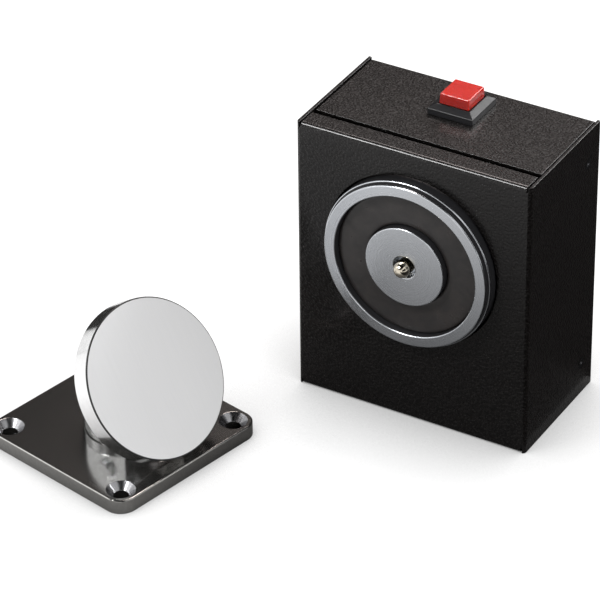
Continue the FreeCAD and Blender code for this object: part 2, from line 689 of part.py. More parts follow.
def contact_bridge():
    """The strip on the stem that joins the fixed contacts until the button is pressed."""
    half = TERMINAL_SPREAD / 2 - CONTACT_SHEET / 2 - BRIDGE_END_GAP
    half_width = TERMINAL_WIDTH / 2 + 0.5
    strip = block((-half, half), (-half_width, half_width), (BRIDGE_BOTTOM, BRIDGE_TOP))
    hole = rod(STEM_TIP_D / 2 + SEAT_GAP, Vector(0, 0, BRIDGE_BOTTOM - 1), Vector(0, 0, BRIDGE_TOP + 1))
    return at_button(strip.cut(hole))


def button_spring():
    """The return spring between the contact bridge and the switch floor."""
    start = SWITCH_FLOOR_TOP + SEAT_GAP
    length = BRIDGE_BOTTOM - SEAT_GAP - start
    mean_r = (STEM_TIP_D + BUTTON_SPRING_WIRE) / 2 + SLIP_GAP
    spring = coil_spring(mean_r, BUTTON_SPRING_WIRE, length, BUTTON_SPRING_TURNS)
    return at_button(moved(spring, z=start))


def switch_floor():
    """The moulded floor that closes the switch and carries its terminals."""
    floor = rounded_square(CAP_HOLE - 2 * SEAT_GAP, SWITCH_CORNER / 2, -SWITCH_DEPTH, SWITCH_FLOOR)
    for blade in mirrored_pair(terminal_blade(SEAT_GAP)):
        floor = floor.cut(blade)
    return at_button(floor)


def terminal_blade(margin):
    """The upright blade of the right terminal, made larger all round by a margin."""
    middle = TERMINAL_SPREAD / 2
    half_sheet = CONTACT_SHEET / 2 + margin
    half_width = TERMINAL_WIDTH / 2 + margin
    bottom = -SWITCH_DEPTH - TERMINAL_TAIL
    return block((middle - half_sheet, middle + half_sheet), (-half_width, half_width), (bottom, -CONTACT_DEPTH))


def switch_terminals():
    """Two brass terminals, each an upright blade with its contact arm bent inwards."""
    outer = TERMINAL_SPREAD / 2
    half_width = TERMINAL_WIDTH / 2
    arm_levels = (-CONTACT_DEPTH - CONTACT_SHEET, -CONTACT_DEPTH)
    arm = block((outer - CONTACT_REACH, outer), (-half_width, half_width), arm_levels)
    terminal = terminal_blade(0).fuse(arm).removeSplitter()
    return group([at_button(part) for part in mirrored_pair(terminal)])


# Cable entry

def grommet_place():
    """The grommet's centre in the bottom plate."""
    return HOUSING_WIDTH / 2 - GROMMET_FROM_SIDE, REAR_Y - GROMMET_FROM_REAR


def cable_grommet():
    """The rubber grommet: a bore, a waist in the plate and a lip on either side."""
    bore_r = GROMMET_BORE_D / 2
    waist_r = GROMMET_HOLE_R - SEAT_GAP
    lip_r = GROMMET_HOLE_R + GROMMET_LIP
    low = BOTTOM_RECESS - SEAT_GAP
    high = BOTTOM_RECESS + SHEET + SEAT_GAP
    outline = [(bore_r, low - GROMMET_OUTER), (lip_r - 0.4, low - GROMMET_OUTER)]
    outline += [(lip_r, low - GROMMET_OUTER + 0.4), (lip_r, low), (waist_r, low), (waist_r, high)]
    outline += [(lip_r, high), (lip_r - 0.8, high + GROMMET_INNER), (bore_r, high + GROMMET_INNER)]
    x, y = grommet_place()
    return moved(turned(outline), x, y)


# Circuit board

def board_hole_places():
    """The four (x, z) places of the board's screws."""
    half = BOARD_WIDTH / 2 - BOARD_HOLE_INSET
    heights = (BOARD_BOTTOM + BOARD_HOLE_INSET, BOARD_TOP - BOARD_HOLE_INSET)
    return [(BOARD_SHIFT + side * half, z) for side in (-1, 1) for z in heights]


def circuit_board():
    """The board, with a hole for each of its screws."""
    left = BOARD_SHIFT - BOARD_WIDTH / 2
    board = block((left, left + BOARD_WIDTH), (BOARD_FRONT_Y, BOARD_BACK_Y), (BOARD_BOTTOM, BOARD_TOP))
    for x, z in board_hole_places():
        hole = rod(BOARD_SCREW_D / 2 + 0.1, Vector(x, BOARD_FRONT_Y - 1, z), Vector(x, BOARD_BACK_Y + 1, z))
        board = board.cut(hole)
    return board


def board_spacers():
    """Four hexagonal spacers between the back plate and the board."""
    spacers = []
    for x, z in board_hole_places():
        spacer = hexagon(BOARD_SPACER_FLATS, Vector(x, BOARD_BACK_Y, z), BOARD_SPACER)
        bore = rod(BOARD_SCREW_D / 2 + SEAT_GAP, Vector(x, BOARD_BACK_Y - 1, z), Vector(x, BASE_INSIDE_Y + 1, z))
        spacers.append(spacer.cut(bore))
    return group(spacers)


def board_screws():
    """Four pan-head screws with cross recesses."""
    head_r = BOARD_SCREW_HEAD_D / 2
    shank_r = BOARD_SCREW_D / 2
    outline = [(0, BOARD_SCREW_HEAD), (head_r - 0.7, BOARD_SCREW_HEAD), (head_r, BOARD_SCREW_HEAD - 0.7)]
    outline += [(head_r, 0), (shank_r, 0), (shank_r, -BOARD_SCREW_LENGTH), (0, -BOARD_SCREW_LENGTH)]
    recess = moved(cross_recess(0.8, 3.0, 1.0), z=BOARD_SCREW_HEAD)
    screw = turned_about(turned(outline).cut(recess), X_AXIS, 90)
    return group([moved(screw, x, BOARD_FRONT_Y, z) for x, z in board_hole_places()])


def terminal_block_poles():
    """Sideways places of the terminal block's poles."""
    middle = BOARD_SHIFT + BOARD_WIDTH / 2 - TERMINAL_BLOCK_FROM_RIGHT
    first = middle - TERMINAL_BLOCK_PITCH * (TERMINAL_BLOCK_POLES - 1) / 2
    return [first + TERMINAL_BLOCK_PITCH * pole for pole in range(TERMINAL_BLOCK_POLES)]


def terminal_block_z():
    """The middle height of the terminal block."""
    return BOARD_BOTTOM + BOARD_HEIGHT / 2


def terminal_block():
    """The moulded block, with screw wells in front and wire entries below."""
    poles = terminal_block_poles()
    half = TERMINAL_BLOCK_PITCH / 2
    low = terminal_block_z() - TERMINAL_BLOCK_HEIGHT / 2
    front = BOARD_FRONT_Y - TERMINAL_BLOCK_DEPTH
    body = block((poles[0] - half, poles[-1] + half), (front, BOARD_FRONT_Y), (low, low + TERMINAL_BLOCK_HEIGHT))
    middle_y = front + TERMINAL_BLOCK_DEPTH * 0.6
    for x in poles:
        z = terminal_block_z()
        well = rod(CLAMP_SCREW_D / 2 + SLIP_GAP, Vector(x, front - 1, z), Vector(x, middle_y, z))
        side = CLAMP_ENTRY / 2
        entry = block((x - side, x + side), (middle_y - side, middle_y + side), (low - 1, z))
        body = body.cut(well.fuse(entry))
    return body


def clamp_screws():
    """The terminal block's slotted clamp screws."""
    front = BOARD_FRONT_Y - TERMINAL_BLOCK_DEPTH + 1.0
    back = BOARD_FRONT_Y - TERMINAL_BLOCK_DEPTH * 0.4 - CLAMP_ENTRY / 2
    screws = []
    for x in terminal_block_poles():
        z = terminal_block_z()
        screw = rod(CLAMP_SCREW_D / 2, Vector(x, front, z), Vector(x, back, z))
        slot = block((x - 0.3, x + 0.3), (front - 1, front + 0.8), (z - 3, z + 3))
        screws.append(screw.cut(slot))
    return group(screws)


def suppressor_diode():
    """The diode across the coil, standing on its two bent leads."""
    x = BOARD_SHIFT - BOARD_WIDTH / 4
    z = BOARD_BOTTOM + BOARD_HEIGHT / 2
    y = BOARD_FRONT_Y - DIODE_D / 2 - 0.5
    lead_r = DIODE_LEAD_D / 2
    body = rod(DIODE_D / 2, Vector(x - DIODE_LENGTH / 2, y, z), Vector(x + DIODE_LENGTH / 2, y, z))
    leads = rod(lead_r, Vector(x - DIODE_SPAN / 2, y, z), Vector(x + DIODE_SPAN / 2, y, z))
    legs = []
    for side in (-1, 1):
        knee = Vector(x + side * DIODE_SPAN / 2, y, z)
        legs.append(rod(lead_r, knee, Vector(knee.x, BOARD_FRONT_Y, z)))
        legs.append(Part.makeSphere(lead_r, knee))
    return body.fuse([leads, *legs]).removeSplitter()


def coil_leads():
    """The coil's two leads, through the pot's floor and down to the board."""
    x = COIL_LEAD_SPREAD / 2
    run = 0.3 * (LEAD_END_Y - POT_REAR_Y)
    points = [Vector(x, POLE_Y + COIL_DEPTH, LEAD_HOLE_Z), Vector(x, POT_REAR_Y + run, LEAD_HOLE_Z)]
    points += [Vector(x, LEAD_END_Y - run, LEAD_END_Z), Vector(x, LEAD_END_Y, LEAD_END_Z)]
    return group(mirrored_pair(lead(points)))


def switch_leads():
    """The switch's two leads, down past the magnet's spacer to the board."""
    top_z = TOP_PLATE_Z - SWITCH_DEPTH - TERMINAL_TAIL - SEAT_GAP
    end_x = SWITCH_LEAD_SPREAD / 2
    side_y = (SWITCH_Y + LEAD_END_Y) / 2
    points = [Vector(TERMINAL_SPREAD / 2, SWITCH_Y, top_z), Vector(TERMINAL_SPREAD / 2, SWITCH_Y, top_z - 5.0)]
    points += [Vector(SWITCH_LEAD_BULGE, SWITCH_Y, MAGNET_HEIGHT + SPACER_D / 2 + 2.0)]
    points += [Vector(SWITCH_LEAD_BULGE, side_y, (MAGNET_HEIGHT + LEAD_END_Z) / 2)]
    points += [Vector(end_x, LEAD_END_Y - 5.0, LEAD_END_Z), Vector(end_x, LEAD_END_Y, LEAD_END_Z)]
    return group(mirrored_pair(lead(points)))


# Armature, built round its own middle and standing on z = 0

def in_place(shape):
    """Places a piece of the armature's base plate beside the housing."""
    turned_shape = turned_about(shape, Z_AXIS, ARMATURE_TURN)
    return moved(turned_shape, -ARMATURE_LEFT, -ARMATURE_FORWARD)


def on_fork(shape):
    """Places a piece that turns with the fork."""
    return in_place(turned_about(shape, Z_AXIS, DISC_TURN))


def on_pivot(shape):
    """Places a piece built with the disc's axis along Z and the pivot at its origin."""
    return on_fork(moved(turned_about(shape, X_AXIS, DISC_TILT), z=PIVOT_Z))


def plate_hole_places():
    """The four (x, y) places of the plate's fixing holes."""
    half = PLATE_SIDE / 2 - PLATE_HOLE_INSET
    return [(x * half, y * half) for x in (-1, 1) for y in (-1, 1)]


def plate_screw_hole():
    """The cutter for one countersunk fixing hole."""
    hole_r = PLATE_HOLE_D / 2
    sink_r = PLATE_SINK_D / 2
    edge = PLATE - (sink_r - hole_r)
    return turned([(0, -1), (hole_r, -1), (hole_r, edge), (sink_r, PLATE), (sink_r, PLATE + 1), (0, PLATE + 1)])


def pivot_screw_outline(margin, bottom):
    """Half section of the shoulder and countersunk head, made larger by a margin."""
    shoulder_r = PIVOT_SHOULDER_D / 2 + margin
    head_r = PIVOT_HEAD_D / 2 + margin
    neck = PIVOT_HEAD_RECESS + (PIVOT_HEAD_D - PIVOT_SHOULDER_D) / 2
    return [(0, bottom), (head_r, bottom), (head_r, PIVOT_HEAD_RECESS), (shoulder_r, neck)]


def armature_base():
    """The square base plate: rounded corners, a chamfered edge and countersunk holes."""
    plate = rounded_square(PLATE_SIDE, PLATE_CORNER, 0, PLATE)
    top_edges = [edge for edge in plate.Edges if abs(edge.CenterOfMass.z - PLATE) < 1e-6]
    plate = plate.makeChamfer(PLATE_CHAMFER, top_edges)
    for x, y in plate_hole_places():
        plate = plate.cut(moved(plate_screw_hole(), x, y))
    outline = pivot_screw_outline(RUNNING_GAP, -1)
    outline += [(outline[-1][0], PLATE + 1), (0, PLATE + 1)]
    return in_place(plate.cut(turned(outline)))


def pivot_screw():
    """The shoulder screw from below that the fork turns with."""
    outline = pivot_screw_outline(0, PIVOT_HEAD_RECESS)[:1]
    outline += pivot_screw_outline(0, PIVOT_HEAD_RECESS)[2:]
    thread_r = PIVOT_SCREW_D / 2
    end = FORK_TOP_Z - 0.5
    outline += [(PIVOT_SHOULDER_D / 2, FORK_BOTTOM_Z - SEAT_GAP), (thread_r, FORK_BOTTOM_Z - SEAT_GAP)]
    outline += [(thread_r, end), (0, end)]
    slot_half = 0.8
    slot = block((-PIVOT_HEAD_D, PIVOT_HEAD_D), (-slot_half, slot_half), (0, PIVOT_HEAD_RECESS + 1.4))
    return on_fork(turned(outline).cut(slot))


def thrust_washer():
    """The washer that the fork turns on."""
    bore_r = PIVOT_SHOULDER_D / 2 + SEAT_GAP
    low = PLATE + RUNNING_GAP
    high = FORK_BOTTOM_Z - SEAT_GAP
    rim_r = FORK_R - 0.5
    return on_fork(turned([(bore_r, low), (rim_r, low), (rim_r, high), (bore_r, high)]))


def fork_ear():
    """The right ear: straight sides up to a round end about the pivot."""
    inner = LUG_SLOT / 2
    x_range = (inner, inner + EAR)
    stem = block(x_range, (-EAR_R, EAR_R), (FORK_BOTTOM_Z, PIVOT_Z))
    end = rod(EAR_R, Vector(inner, 0, PIVOT_Z), Vector(inner + EAR, 0, PIVOT_Z))
    return stem.fuse(end)


def pivot_fork():
    """The fork: a round turntable with two ears for the pivot pin."""
    base = turned([(0, FORK_BOTTOM_Z), (FORK_R, FORK_BOTTOM_Z), (FORK_R, FORK_TOP_Z - 0.5),
                   (FORK_R - 0.5, FORK_TOP_Z), (0, FORK_TOP_Z)])
    fork = base.fuse(mirrored_pair(fork_ear()))
    bolt = rod(PIVOT_SCREW_D / 2 + SEAT_GAP, ORIGIN, Vector(0, 0, FORK_TOP_Z + 1))
    reach = LUG_SLOT / 2 + EAR + 1
    pin = rod(PIVOT_PIN_D / 2 + SEAT_GAP / 2, Vector(-reach, 0, PIVOT_Z), Vector(reach, 0, PIVOT_Z))
    return on_fork(fork.cut([bolt, pin]).removeSplitter())


def pivot_pin():
    """The headed hinge pin, grooved for its clip; its heights run from the clip's ear."""
    radius = PIVOT_PIN_D / 2
    groove_r = radius - CLIP_GROOVE
    ears = LUG_SLOT + 2 * EAR
    groove = (-SEAT_GAP, -SEAT_GAP - CLIP)
    tail = -PIVOT_PIN_TAIL
    outline = [(0, tail), (radius - 0.3, tail), (radius, tail + 0.3), (radius, groove[1]), (groove_r, groove[1])]
    outline += [(groove_r, groove[0]), (radius, groove[0]), (radius, ears + SEAT_GAP)]
    outline += [(PIVOT_PIN_HEAD_D / 2, ears + SEAT_GAP), (PIVOT_PIN_HEAD_D / 2, ears + PIVOT_PIN_HEAD)]
    outline += [(0, ears + PIVOT_PIN_HEAD)]
    return along_pivot(turned(outline))


def pivot_clip():
    """The open retaining clip in the pin's groove."""
    inner_r = PIVOT_PIN_D / 2 - CLIP_GROOVE + SEAT_GAP
    rim_r = CLIP_D / 2
    low = -CLIP
    high = -2 * SEAT_GAP
    ring = turned([(inner_r, low), (rim_r, low), (rim_r, high), (inner_r, high)])
    spread = math.radians(CLIP_OPENING / 2)
    reach = 2 * rim_r
    corner = Vector(reach, reach * math.tan(spread), low - 1)
    wedge = Part.makePolygon([Vector(0, 0, low - 1), corner, Vector(corner.x, -corner.y, low - 1), Vector(0, 0, low - 1)])
    return along_pivot(ring.cut(Part.Face(wedge).extrude(Vector(0, 0, CLIP + 2))))


def along_pivot(shape):
    """Lays a form built round Z along the pivot, its level 0 on the right ear's outer face."""
    lying = turned_about(shape, Y_AXIS, -90)
    return on_fork(moved(lying, x=LUG_SLOT / 2 + EAR, z=PIVOT_Z))


def disc_knuckle():
    """The hinge lug and its round boss, pressed into the back of the disc."""
    half = LUG / 2
    bar = block((-half, half), (-LUG_R, LUG_R), (0, BOSS_FROM_PIVOT + 1))
    end = rod(LUG_R, Vector(-half, 0, 0), Vector(half, 0, 0))
    top = DISC_FROM_PIVOT + BOSS_INSERT
    outline = [(0, BOSS_FROM_PIVOT), (BOSS_R - 0.4, BOSS_FROM_PIVOT), (BOSS_R, BOSS_FROM_PIVOT + 0.4)]
    outline += [(BOSS_R, top), (0, top)]
    knuckle = bar.fuse([end, turned(outline)])
    bore = rod(PIVOT_PIN_D / 2 + RUNNING_GAP, Vector(-LUG, 0, 0), Vector(LUG, 0, 0))
    return on_pivot(knuckle.cut(bore).removeSplitter())


def armature_disc():
    """The flat disc that the magnet holds, with a blind bore in its back."""
    back = DISC_FROM_PIVOT
    face = back + DISC
    bore_r = BOSS_R + SEAT_GAP
    bore_end = back + BOSS_INSERT + SEAT_GAP
    outline = [(bore_r, back), (DISC_R - DISC_CHAMFER, back), (DISC_R, back + DISC_CHAMFER)]
    outline += [(DISC_R, face - DISC_CHAMFER), (DISC_R - DISC_CHAMFER, face), (0, face)]
    outline += [(0, bore_end), (bore_r, bore_end)]
    return on_pivot(turned(outline))


NODES = {
    "housing_cover": housing_cover,
    "housing_base": housing_base,
    "cover_screws": cover_screws,
    "magnet_pot": magnet_pot,
    "coil_bobbin": coil_bobbin,
    "coil_winding": coil_winding,
    "coil_resin": coil_resin,
    "ejector_bush": ejector_bush,
    "ejector_pin": ejector_pin,
    "ejector_spring": ejector_spring,
    "magnet_stud": magnet_stud,
    "magnet_spacer": magnet_spacer,
    "lock_washer": lock_washer,
    "switch_housing": switch_housing,
    "button_cap": button_cap,
    "contact_bridge": contact_bridge,
    "button_spring": button_spring,
    "switch_floor": switch_floor,
    "switch_terminals": switch_terminals,
    "cable_grommet": cable_grommet,
    "circuit_board": circuit_board,
    "board_spacers": board_spacers,
    "board_screws": board_screws,
    "terminal_block": terminal_block,
    "clamp_screws": clamp_screws,
    "suppressor_diode": suppressor_diode,
    "coil_leads": coil_leads,
    "switch_leads": switch_leads,
    "armature_base": armature_base,
    "pivot_screw": pivot_screw,
    "thrust_washer": thrust_washer,
    "pivot_fork": pivot_fork,
    "pivot_pin": pivot_pin,
    "pivot_clip": pivot_clip,
    "disc_knuckle": disc_knuckle,
    "armature_disc": armature_disc,
}


def main():
    """Builds every piece and writes it where it stands in the whole."""
    os.makedirs("parts", exist_ok=True)
    for name, build in NODES.items():
        shape = moved(build(), HOUSING_X, HOUSING_Y)
        shape.exportStep(f"parts/{name}.step")
        print(f"{name}: {len(shape.Solids)} solid(s), valid {shape.isValid()}")


main()
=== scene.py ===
"""Looks of an electromagnetic door holder: a wall magnet in its housing, and its armature."""
import logging
import math
from dataclasses import dataclass
from enum import Enum

import bmesh
import bpy
from mathutils import Matrix, Vector
from mathutils.bvhtree import BVHTree


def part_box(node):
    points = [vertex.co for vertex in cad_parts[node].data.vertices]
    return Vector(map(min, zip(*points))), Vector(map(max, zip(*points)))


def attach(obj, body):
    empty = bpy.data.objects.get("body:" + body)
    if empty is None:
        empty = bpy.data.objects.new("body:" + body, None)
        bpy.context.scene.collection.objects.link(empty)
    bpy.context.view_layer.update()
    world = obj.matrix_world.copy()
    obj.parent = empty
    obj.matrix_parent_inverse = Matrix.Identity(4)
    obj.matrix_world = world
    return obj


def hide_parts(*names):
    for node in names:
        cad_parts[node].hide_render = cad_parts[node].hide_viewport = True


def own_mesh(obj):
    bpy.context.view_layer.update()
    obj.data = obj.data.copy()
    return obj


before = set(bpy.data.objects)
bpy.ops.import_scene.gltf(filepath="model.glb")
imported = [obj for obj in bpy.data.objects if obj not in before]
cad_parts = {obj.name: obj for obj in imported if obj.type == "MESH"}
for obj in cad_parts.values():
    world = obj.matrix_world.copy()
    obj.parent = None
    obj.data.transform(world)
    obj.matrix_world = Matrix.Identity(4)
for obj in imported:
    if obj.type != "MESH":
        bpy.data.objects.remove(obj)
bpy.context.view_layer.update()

LOG = logging.getLogger("door_holder")
Colour = tuple[float, float, float]
Point = tuple[float, float, float]
Outline = list[tuple[float, float]]
Tree = bpy.types.NodeTree
Socket = bpy.types.NodeSocket

MM = 0.001
MERGE_GAP = 1e-6
CREASE = 30.0

# Places in the frame, in millimetres and degrees.
MAGNET_CENTRE = (39.113, 18.963, 67.0)
PLATE_CENTRE = (-44.687, -35.837, 0.0)
PLATE_TURN = 77.04
HOLE_OFFSET = 28.0
FORK_TURN = PLATE_TURN - 1.5
PIVOT_CENTRE = (PLATE_CENTRE[0], PLATE_CENTRE[1], 21.262)
DISC_TILT = 56.0

# How a grain's pattern is made.
CELL_SMOOTHNESS = 0.15
CELL_RANGE = (0.15, 0.75)
NOISE_DETAIL = 4.0
NOISE_RANGE = (0.3, 0.7)
GROUND_STRETCH = (1.0, 40.0, 1.0)
CAST_DISTORTION = 0.6


def maths(tree: Tree, operation: str, a: Socket, b: Socket | float) -> Socket:
    """Adds one sum to a node tree.

    Args:
        tree: The tree.
        operation: The sum's name.
        a: Its first value.
        b: Its second value, a socket or a number.

    Returns:
        The result.
    """
    node = tree.nodes.new("ShaderNodeMath")
    node.operation = operation
    tree.links.new(a, node.inputs[0])
    if isinstance(b, float):
        node.inputs[1].default_value = b
    else:
        tree.links.new(b, node.inputs[1])
    return node.outputs["Value"]


def ranged(tree: Tree, value: Socket, source: tuple[float, float] = (0.0, 1.0),
           target: tuple[float, float] = (0.0, 1.0), smooth: bool = False) -> Socket:
    """Maps a value from one range to another.

    Args:
        tree: The tree.
        value: The value.
        source: The range that it has.
        target: The range that it gets.
        smooth: Whether it eases in and out.

    Returns:
        The mapped value.
    """
    node = tree.nodes.new("ShaderNodeMapRange")
    if smooth:
        node.interpolation_type = "SMOOTHSTEP"
    labels = ("From Min", "From Max", "To Min", "To Max")
    for label, number in zip(labels, (*source, *target)):
        node.inputs[label].default_value = number
    tree.links.new(value, node.inputs["Value"])
    return node.outputs["Result"]


class Grain(Enum):
    """The pattern that a finish shows from near."""

    COATED = "a baked powder coat, with rounded grains"
    GROUND = "fine straight lines left by a grinding wheel"
    TURNED = "rings left by a lathe tool"
    MOULDED = "the faint orange peel of a moulding"
    CAST = "a cast surface with soft patches"


@dataclass(frozen=True)
class Finish:
    """One finish: its colours, gloss and grain, all in the piece's own coordinates."""

    name: str
    colour: Colour
    shade: Colour
    roughness: tuple[float, float]
    metallic: float = 0.0
    grain: Grain = Grain.MOULDED
    grain_size: float = 0.5
    relief: float = 0.02
    specular: float = 0.5
    coat: float = 0.0
    coat_roughness: float = 0.06
    translucent: float = 0.0
    scatter: float = 3.0
    turn: Point = (0.0, 0.0, 0.0)
    centre: Point = (0.0, 0.0, 0.0)

    def material(self) -> bpy.types.Material:
        """Makes the node material, or gives the one made before.

        Returns:
            The material, with its constants on the shader's own sockets.
        """
        name = "look_" + self.name
        made = bpy.data.materials.get(name)
        if made:
            return made
        made = bpy.data.materials.new(name)
        made.use_nodes = True
        tree = made.node_tree
        shader = tree.nodes["Principled BSDF"].inputs
        shader["Metallic"].default_value = self.metallic
        shader["Specular IOR Level"].default_value = self.specular
        shader["Coat Weight"].default_value = self.coat
        shader["Coat Roughness"].default_value = self.coat_roughness
        shader["Subsurface Weight"].default_value = self.translucent
        shader["Subsurface Scale"].default_value = self.scatter * MM
        pattern = self.pattern(tree)
        mix = tree.nodes.new("ShaderNodeMix")
        mix.data_type = "RGBA"
        tree.links.new(pattern, mix.inputs["Factor"])
        mix.inputs["A"].default_value = (*self.colour, 1.0)
        mix.inputs["B"].default_value = (*self.shade, 1.0)
        tree.links.new(mix.outputs["Result"], shader["Base Color"])
        tree.links.new(ranged(tree, pattern, target=self.roughness), shader["Roughness"])
        bump = tree.nodes.new("ShaderNodeBump")
        bump.inputs["Distance"].default_value = self.relief * MM
        bump.inputs["Strength"].default_value = 1.0
        tree.links.new(pattern, bump.inputs["Height"])
        tree.links.new(bump.outputs["Normal"], shader["Normal"])
        return made

    def pattern(self, tree: Tree) -> Socket:
        """Adds the grain's pattern to a material.

        Args:
            tree: The material's node tree.

        Returns:
            A socket that runs from 0 to 1 over the grain.
        """
        place = tree.nodes.new("ShaderNodeTexCoord")
        mapping = tree.nodes.new("ShaderNodeMapping")
        mapping.vector_type = "TEXTURE"
        mapping.inputs["Location"].default_value = [c * MM for c in self.centre]
        mapping.inputs["Rotation"].default_value = [math.radians(a) for a in self.turn]
        tree.links.new(place.outputs["Object"], mapping.inputs["Vector"])
        scale = 1.0 / (self.grain_size * MM)
        if self.grain is Grain.COATED:
            cells = tree.nodes.new("ShaderNodeTexVoronoi")
            cells.feature = "SMOOTH_F1"
            cells.inputs["Scale"].default_value = scale
            cells.inputs["Smoothness"].default_value = CELL_SMOOTHNESS
            tree.links.new(mapping.outputs["Vector"], cells.inputs["Vector"])
            return ranged(tree, cells.outputs["Distance"], CELL_RANGE)
        noise = tree.nodes.new("ShaderNodeTexNoise")
        noise.inputs["Detail"].default_value = NOISE_DETAIL
        if self.grain is Grain.TURNED:
            noise.noise_dimensions = "1D"
            tree.links.new(self.from_axis(tree, mapping.outputs["Vector"]), noise.inputs["W"])
        else:
            tree.links.new(mapping.outputs["Vector"], noise.inputs["Vector"])
        if self.grain is Grain.GROUND:
            mapping.inputs["Scale"].default_value = GROUND_STRETCH
        if self.grain is Grain.CAST:
            noise.inputs["Distortion"].default_value = CAST_DISTORTION
        noise.inputs["Scale"].default_value = scale
        return ranged(tree, noise.outputs["Fac"], NOISE_RANGE)

    def from_axis(self, tree: Tree, place: Socket) -> Socket:
        """Measures how far a place is from the Z axis.

        Args:
            tree: The material's node tree.
            place: The place.

        Returns:
            The distance.
        """
        parts = tree.nodes.new("ShaderNodeSeparateXYZ")
        flat = tree.nodes.new("ShaderNodeCombineXYZ")
        length = tree.nodes.new("ShaderNodeVectorMath")
        length.operation = "LENGTH"
        tree.links.new(place, parts.inputs["Vector"])
        tree.links.new(parts.outputs["X"], flat.inputs["X"])
        tree.links.new(parts.outputs["Y"], flat.inputs["Y"])
        tree.links.new(flat.outputs["Vector"], length.inputs[0])
        return length.outputs["Value"]


POWDER_COAT = Finish("powder_coat", (0.0042, 0.0034, 0.0032), (0.002, 0.0016, 0.0015), (0.24, 0.42),
                     grain=Grain.COATED, grain_size=0.9, relief=0.32, specular=0.11, coat=0.5,
                     coat_roughness=0.17)
BLACK_SCREW = Finish("black_screw", (0.20, 0.20, 0.21), (0.13, 0.13, 0.14), (0.16, 0.24),
                     metallic=1.0, grain_size=0.3, relief=0.003)
POLE_STEEL = Finish("pole_steel", (0.60, 0.62, 0.65), (0.57, 0.59, 0.62), (0.22, 0.28),
                    metallic=1.0, grain=Grain.TURNED, grain_size=0.4, relief=0.0003,
                    turn=(90, 0, 0), centre=MAGNET_CENTRE)
# Black of the pot's body, also used as painted shade on the walls of the coil recess.
POT_BLACK = Finish("pot_black", (0.014, 0.014, 0.015), (0.009, 0.009, 0.01), (0.3, 0.4),
                   grain=Grain.TURNED, grain_size=0.3, relief=0.002, turn=(90, 0, 0),
                   centre=MAGNET_CENTRE)
RESIN = Finish("cast_resin", (0.024, 0.021, 0.020), (0.012, 0.011, 0.011), (0.26, 0.40),
               grain=Grain.CAST, grain_size=5.0, relief=0.02)
PIN_NICKEL = Finish("ejector_nickel", (0.72, 0.66, 0.55), (0.6, 0.54, 0.44), (0.10, 0.16),
                    metallic=1.0, grain=Grain.TURNED, grain_size=0.3, relief=0.001,
                    turn=(90, 0, 0), centre=MAGNET_CENTRE)
BEZEL_PLASTIC = Finish("black_plastic", (0.012, 0.012, 0.013), (0.008, 0.008, 0.009), (0.28, 0.36),
                       grain_size=0.5, relief=0.004, specular=0.28)
CAP_PLASTIC = Finish("red_plastic", (0.30, 0.021, 0.017), (0.26, 0.018, 0.015), (0.10, 0.14),
                     grain_size=0.8, relief=0.003, translucent=0.7)
RUBBER = Finish("rubber", (0.018, 0.018, 0.018), (0.012, 0.012, 0.012), (0.6, 0.75),
                grain_size=0.4, relief=0.006)
PLATE_BLACK = Finish("gloss_black", (0.30, 0.295, 0.285), (0.26, 0.255, 0.245), (0.11, 0.135),
                     metallic=0.97, grain_size=1.2, relief=0.001)
SINK_STEEL = Finish("sink_steel", (0.38, 0.38, 0.39), (0.28, 0.28, 0.29), (0.16, 0.26),
                    metallic=1.0, grain_size=0.3, relief=0.002)
DISC_FACE = Finish("disc_face", (0.45, 0.455, 0.46), (0.44, 0.445, 0.45), (0.30, 0.36),
                   metallic=0.2, grain=Grain.GROUND, grain_size=0.5, relief=0.0003,
                   turn=(DISC_TILT, 0, FORK_TURN), centre=PIVOT_CENTRE)
DISC_RIM = Finish("disc_rim", (0.94, 0.94, 0.94), (0.90, 0.90, 0.90), (0.10, 0.14),
                  metallic=1.0, grain_size=2.0, relief=0.001)
# Painted shade: near black on the disc's face chamfer, standing in for the dark line of its reflection.
DISC_SHADED_CHAMFER = Finish("disc_shaded_chamfer", (0.03, 0.03, 0.03), (0.02, 0.02, 0.02), (0.3, 0.4),
                   metallic=0.4, grain_size=0.5, relief=0.001)
ZINC = Finish("zinc_steel", (0.66, 0.67, 0.68), (0.56, 0.57, 0.58), (0.16, 0.26),
              metallic=1.0, grain=Grain.CAST, grain_size=1.5, relief=0.003)
SPRING_STEEL = Finish("spring_steel", (0.42, 0.42, 0.43), (0.34, 0.34, 0.35), (0.2, 0.3),
                      metallic=1.0, grain_size=0.3, relief=0.002)
COPPER = Finish("copper_wire", (0.60, 0.22, 0.10), (0.5, 0.17, 0.07), (0.25, 0.35),
                metallic=1.0, grain_size=0.4, relief=0.01)
BRASS = Finish("contact_brass", (0.66, 0.50, 0.22), (0.56, 0.41, 0.17), (0.22, 0.34),
               metallic=1.0, grain_size=0.5, relief=0.002)
COIL_PLASTIC = Finish("coil_plastic", (0.62, 0.60, 0.54), (0.55, 0.53, 0.47), (0.4, 0.5),
                      grain_size=0.6, relief=0.005)
BOARD_GREEN = Finish("board_green", (0.02, 0.13, 0.05), (0.015, 0.10, 0.04), (0.25, 0.4),
                     grain_size=1.5, relief=0.005)
BLOCK_GREEN = Finish("block_green", (0.03, 0.22, 0.09), (0.025, 0.19, 0.08), (0.35, 0.45),
                     grain_size=0.6, relief=0.005)
LEAD_RED = Finish("lead_red", (0.50, 0.03, 0.02), (0.44, 0.025, 0.02), (0.35, 0.45),
                  grain_size=0.5, relief=0.004)
LEAD_BLACK = Finish("lead_black", (0.02, 0.02, 0.02), (0.014, 0.014, 0.014), (0.35, 0.45),
                    grain_size=0.5, relief=0.004)

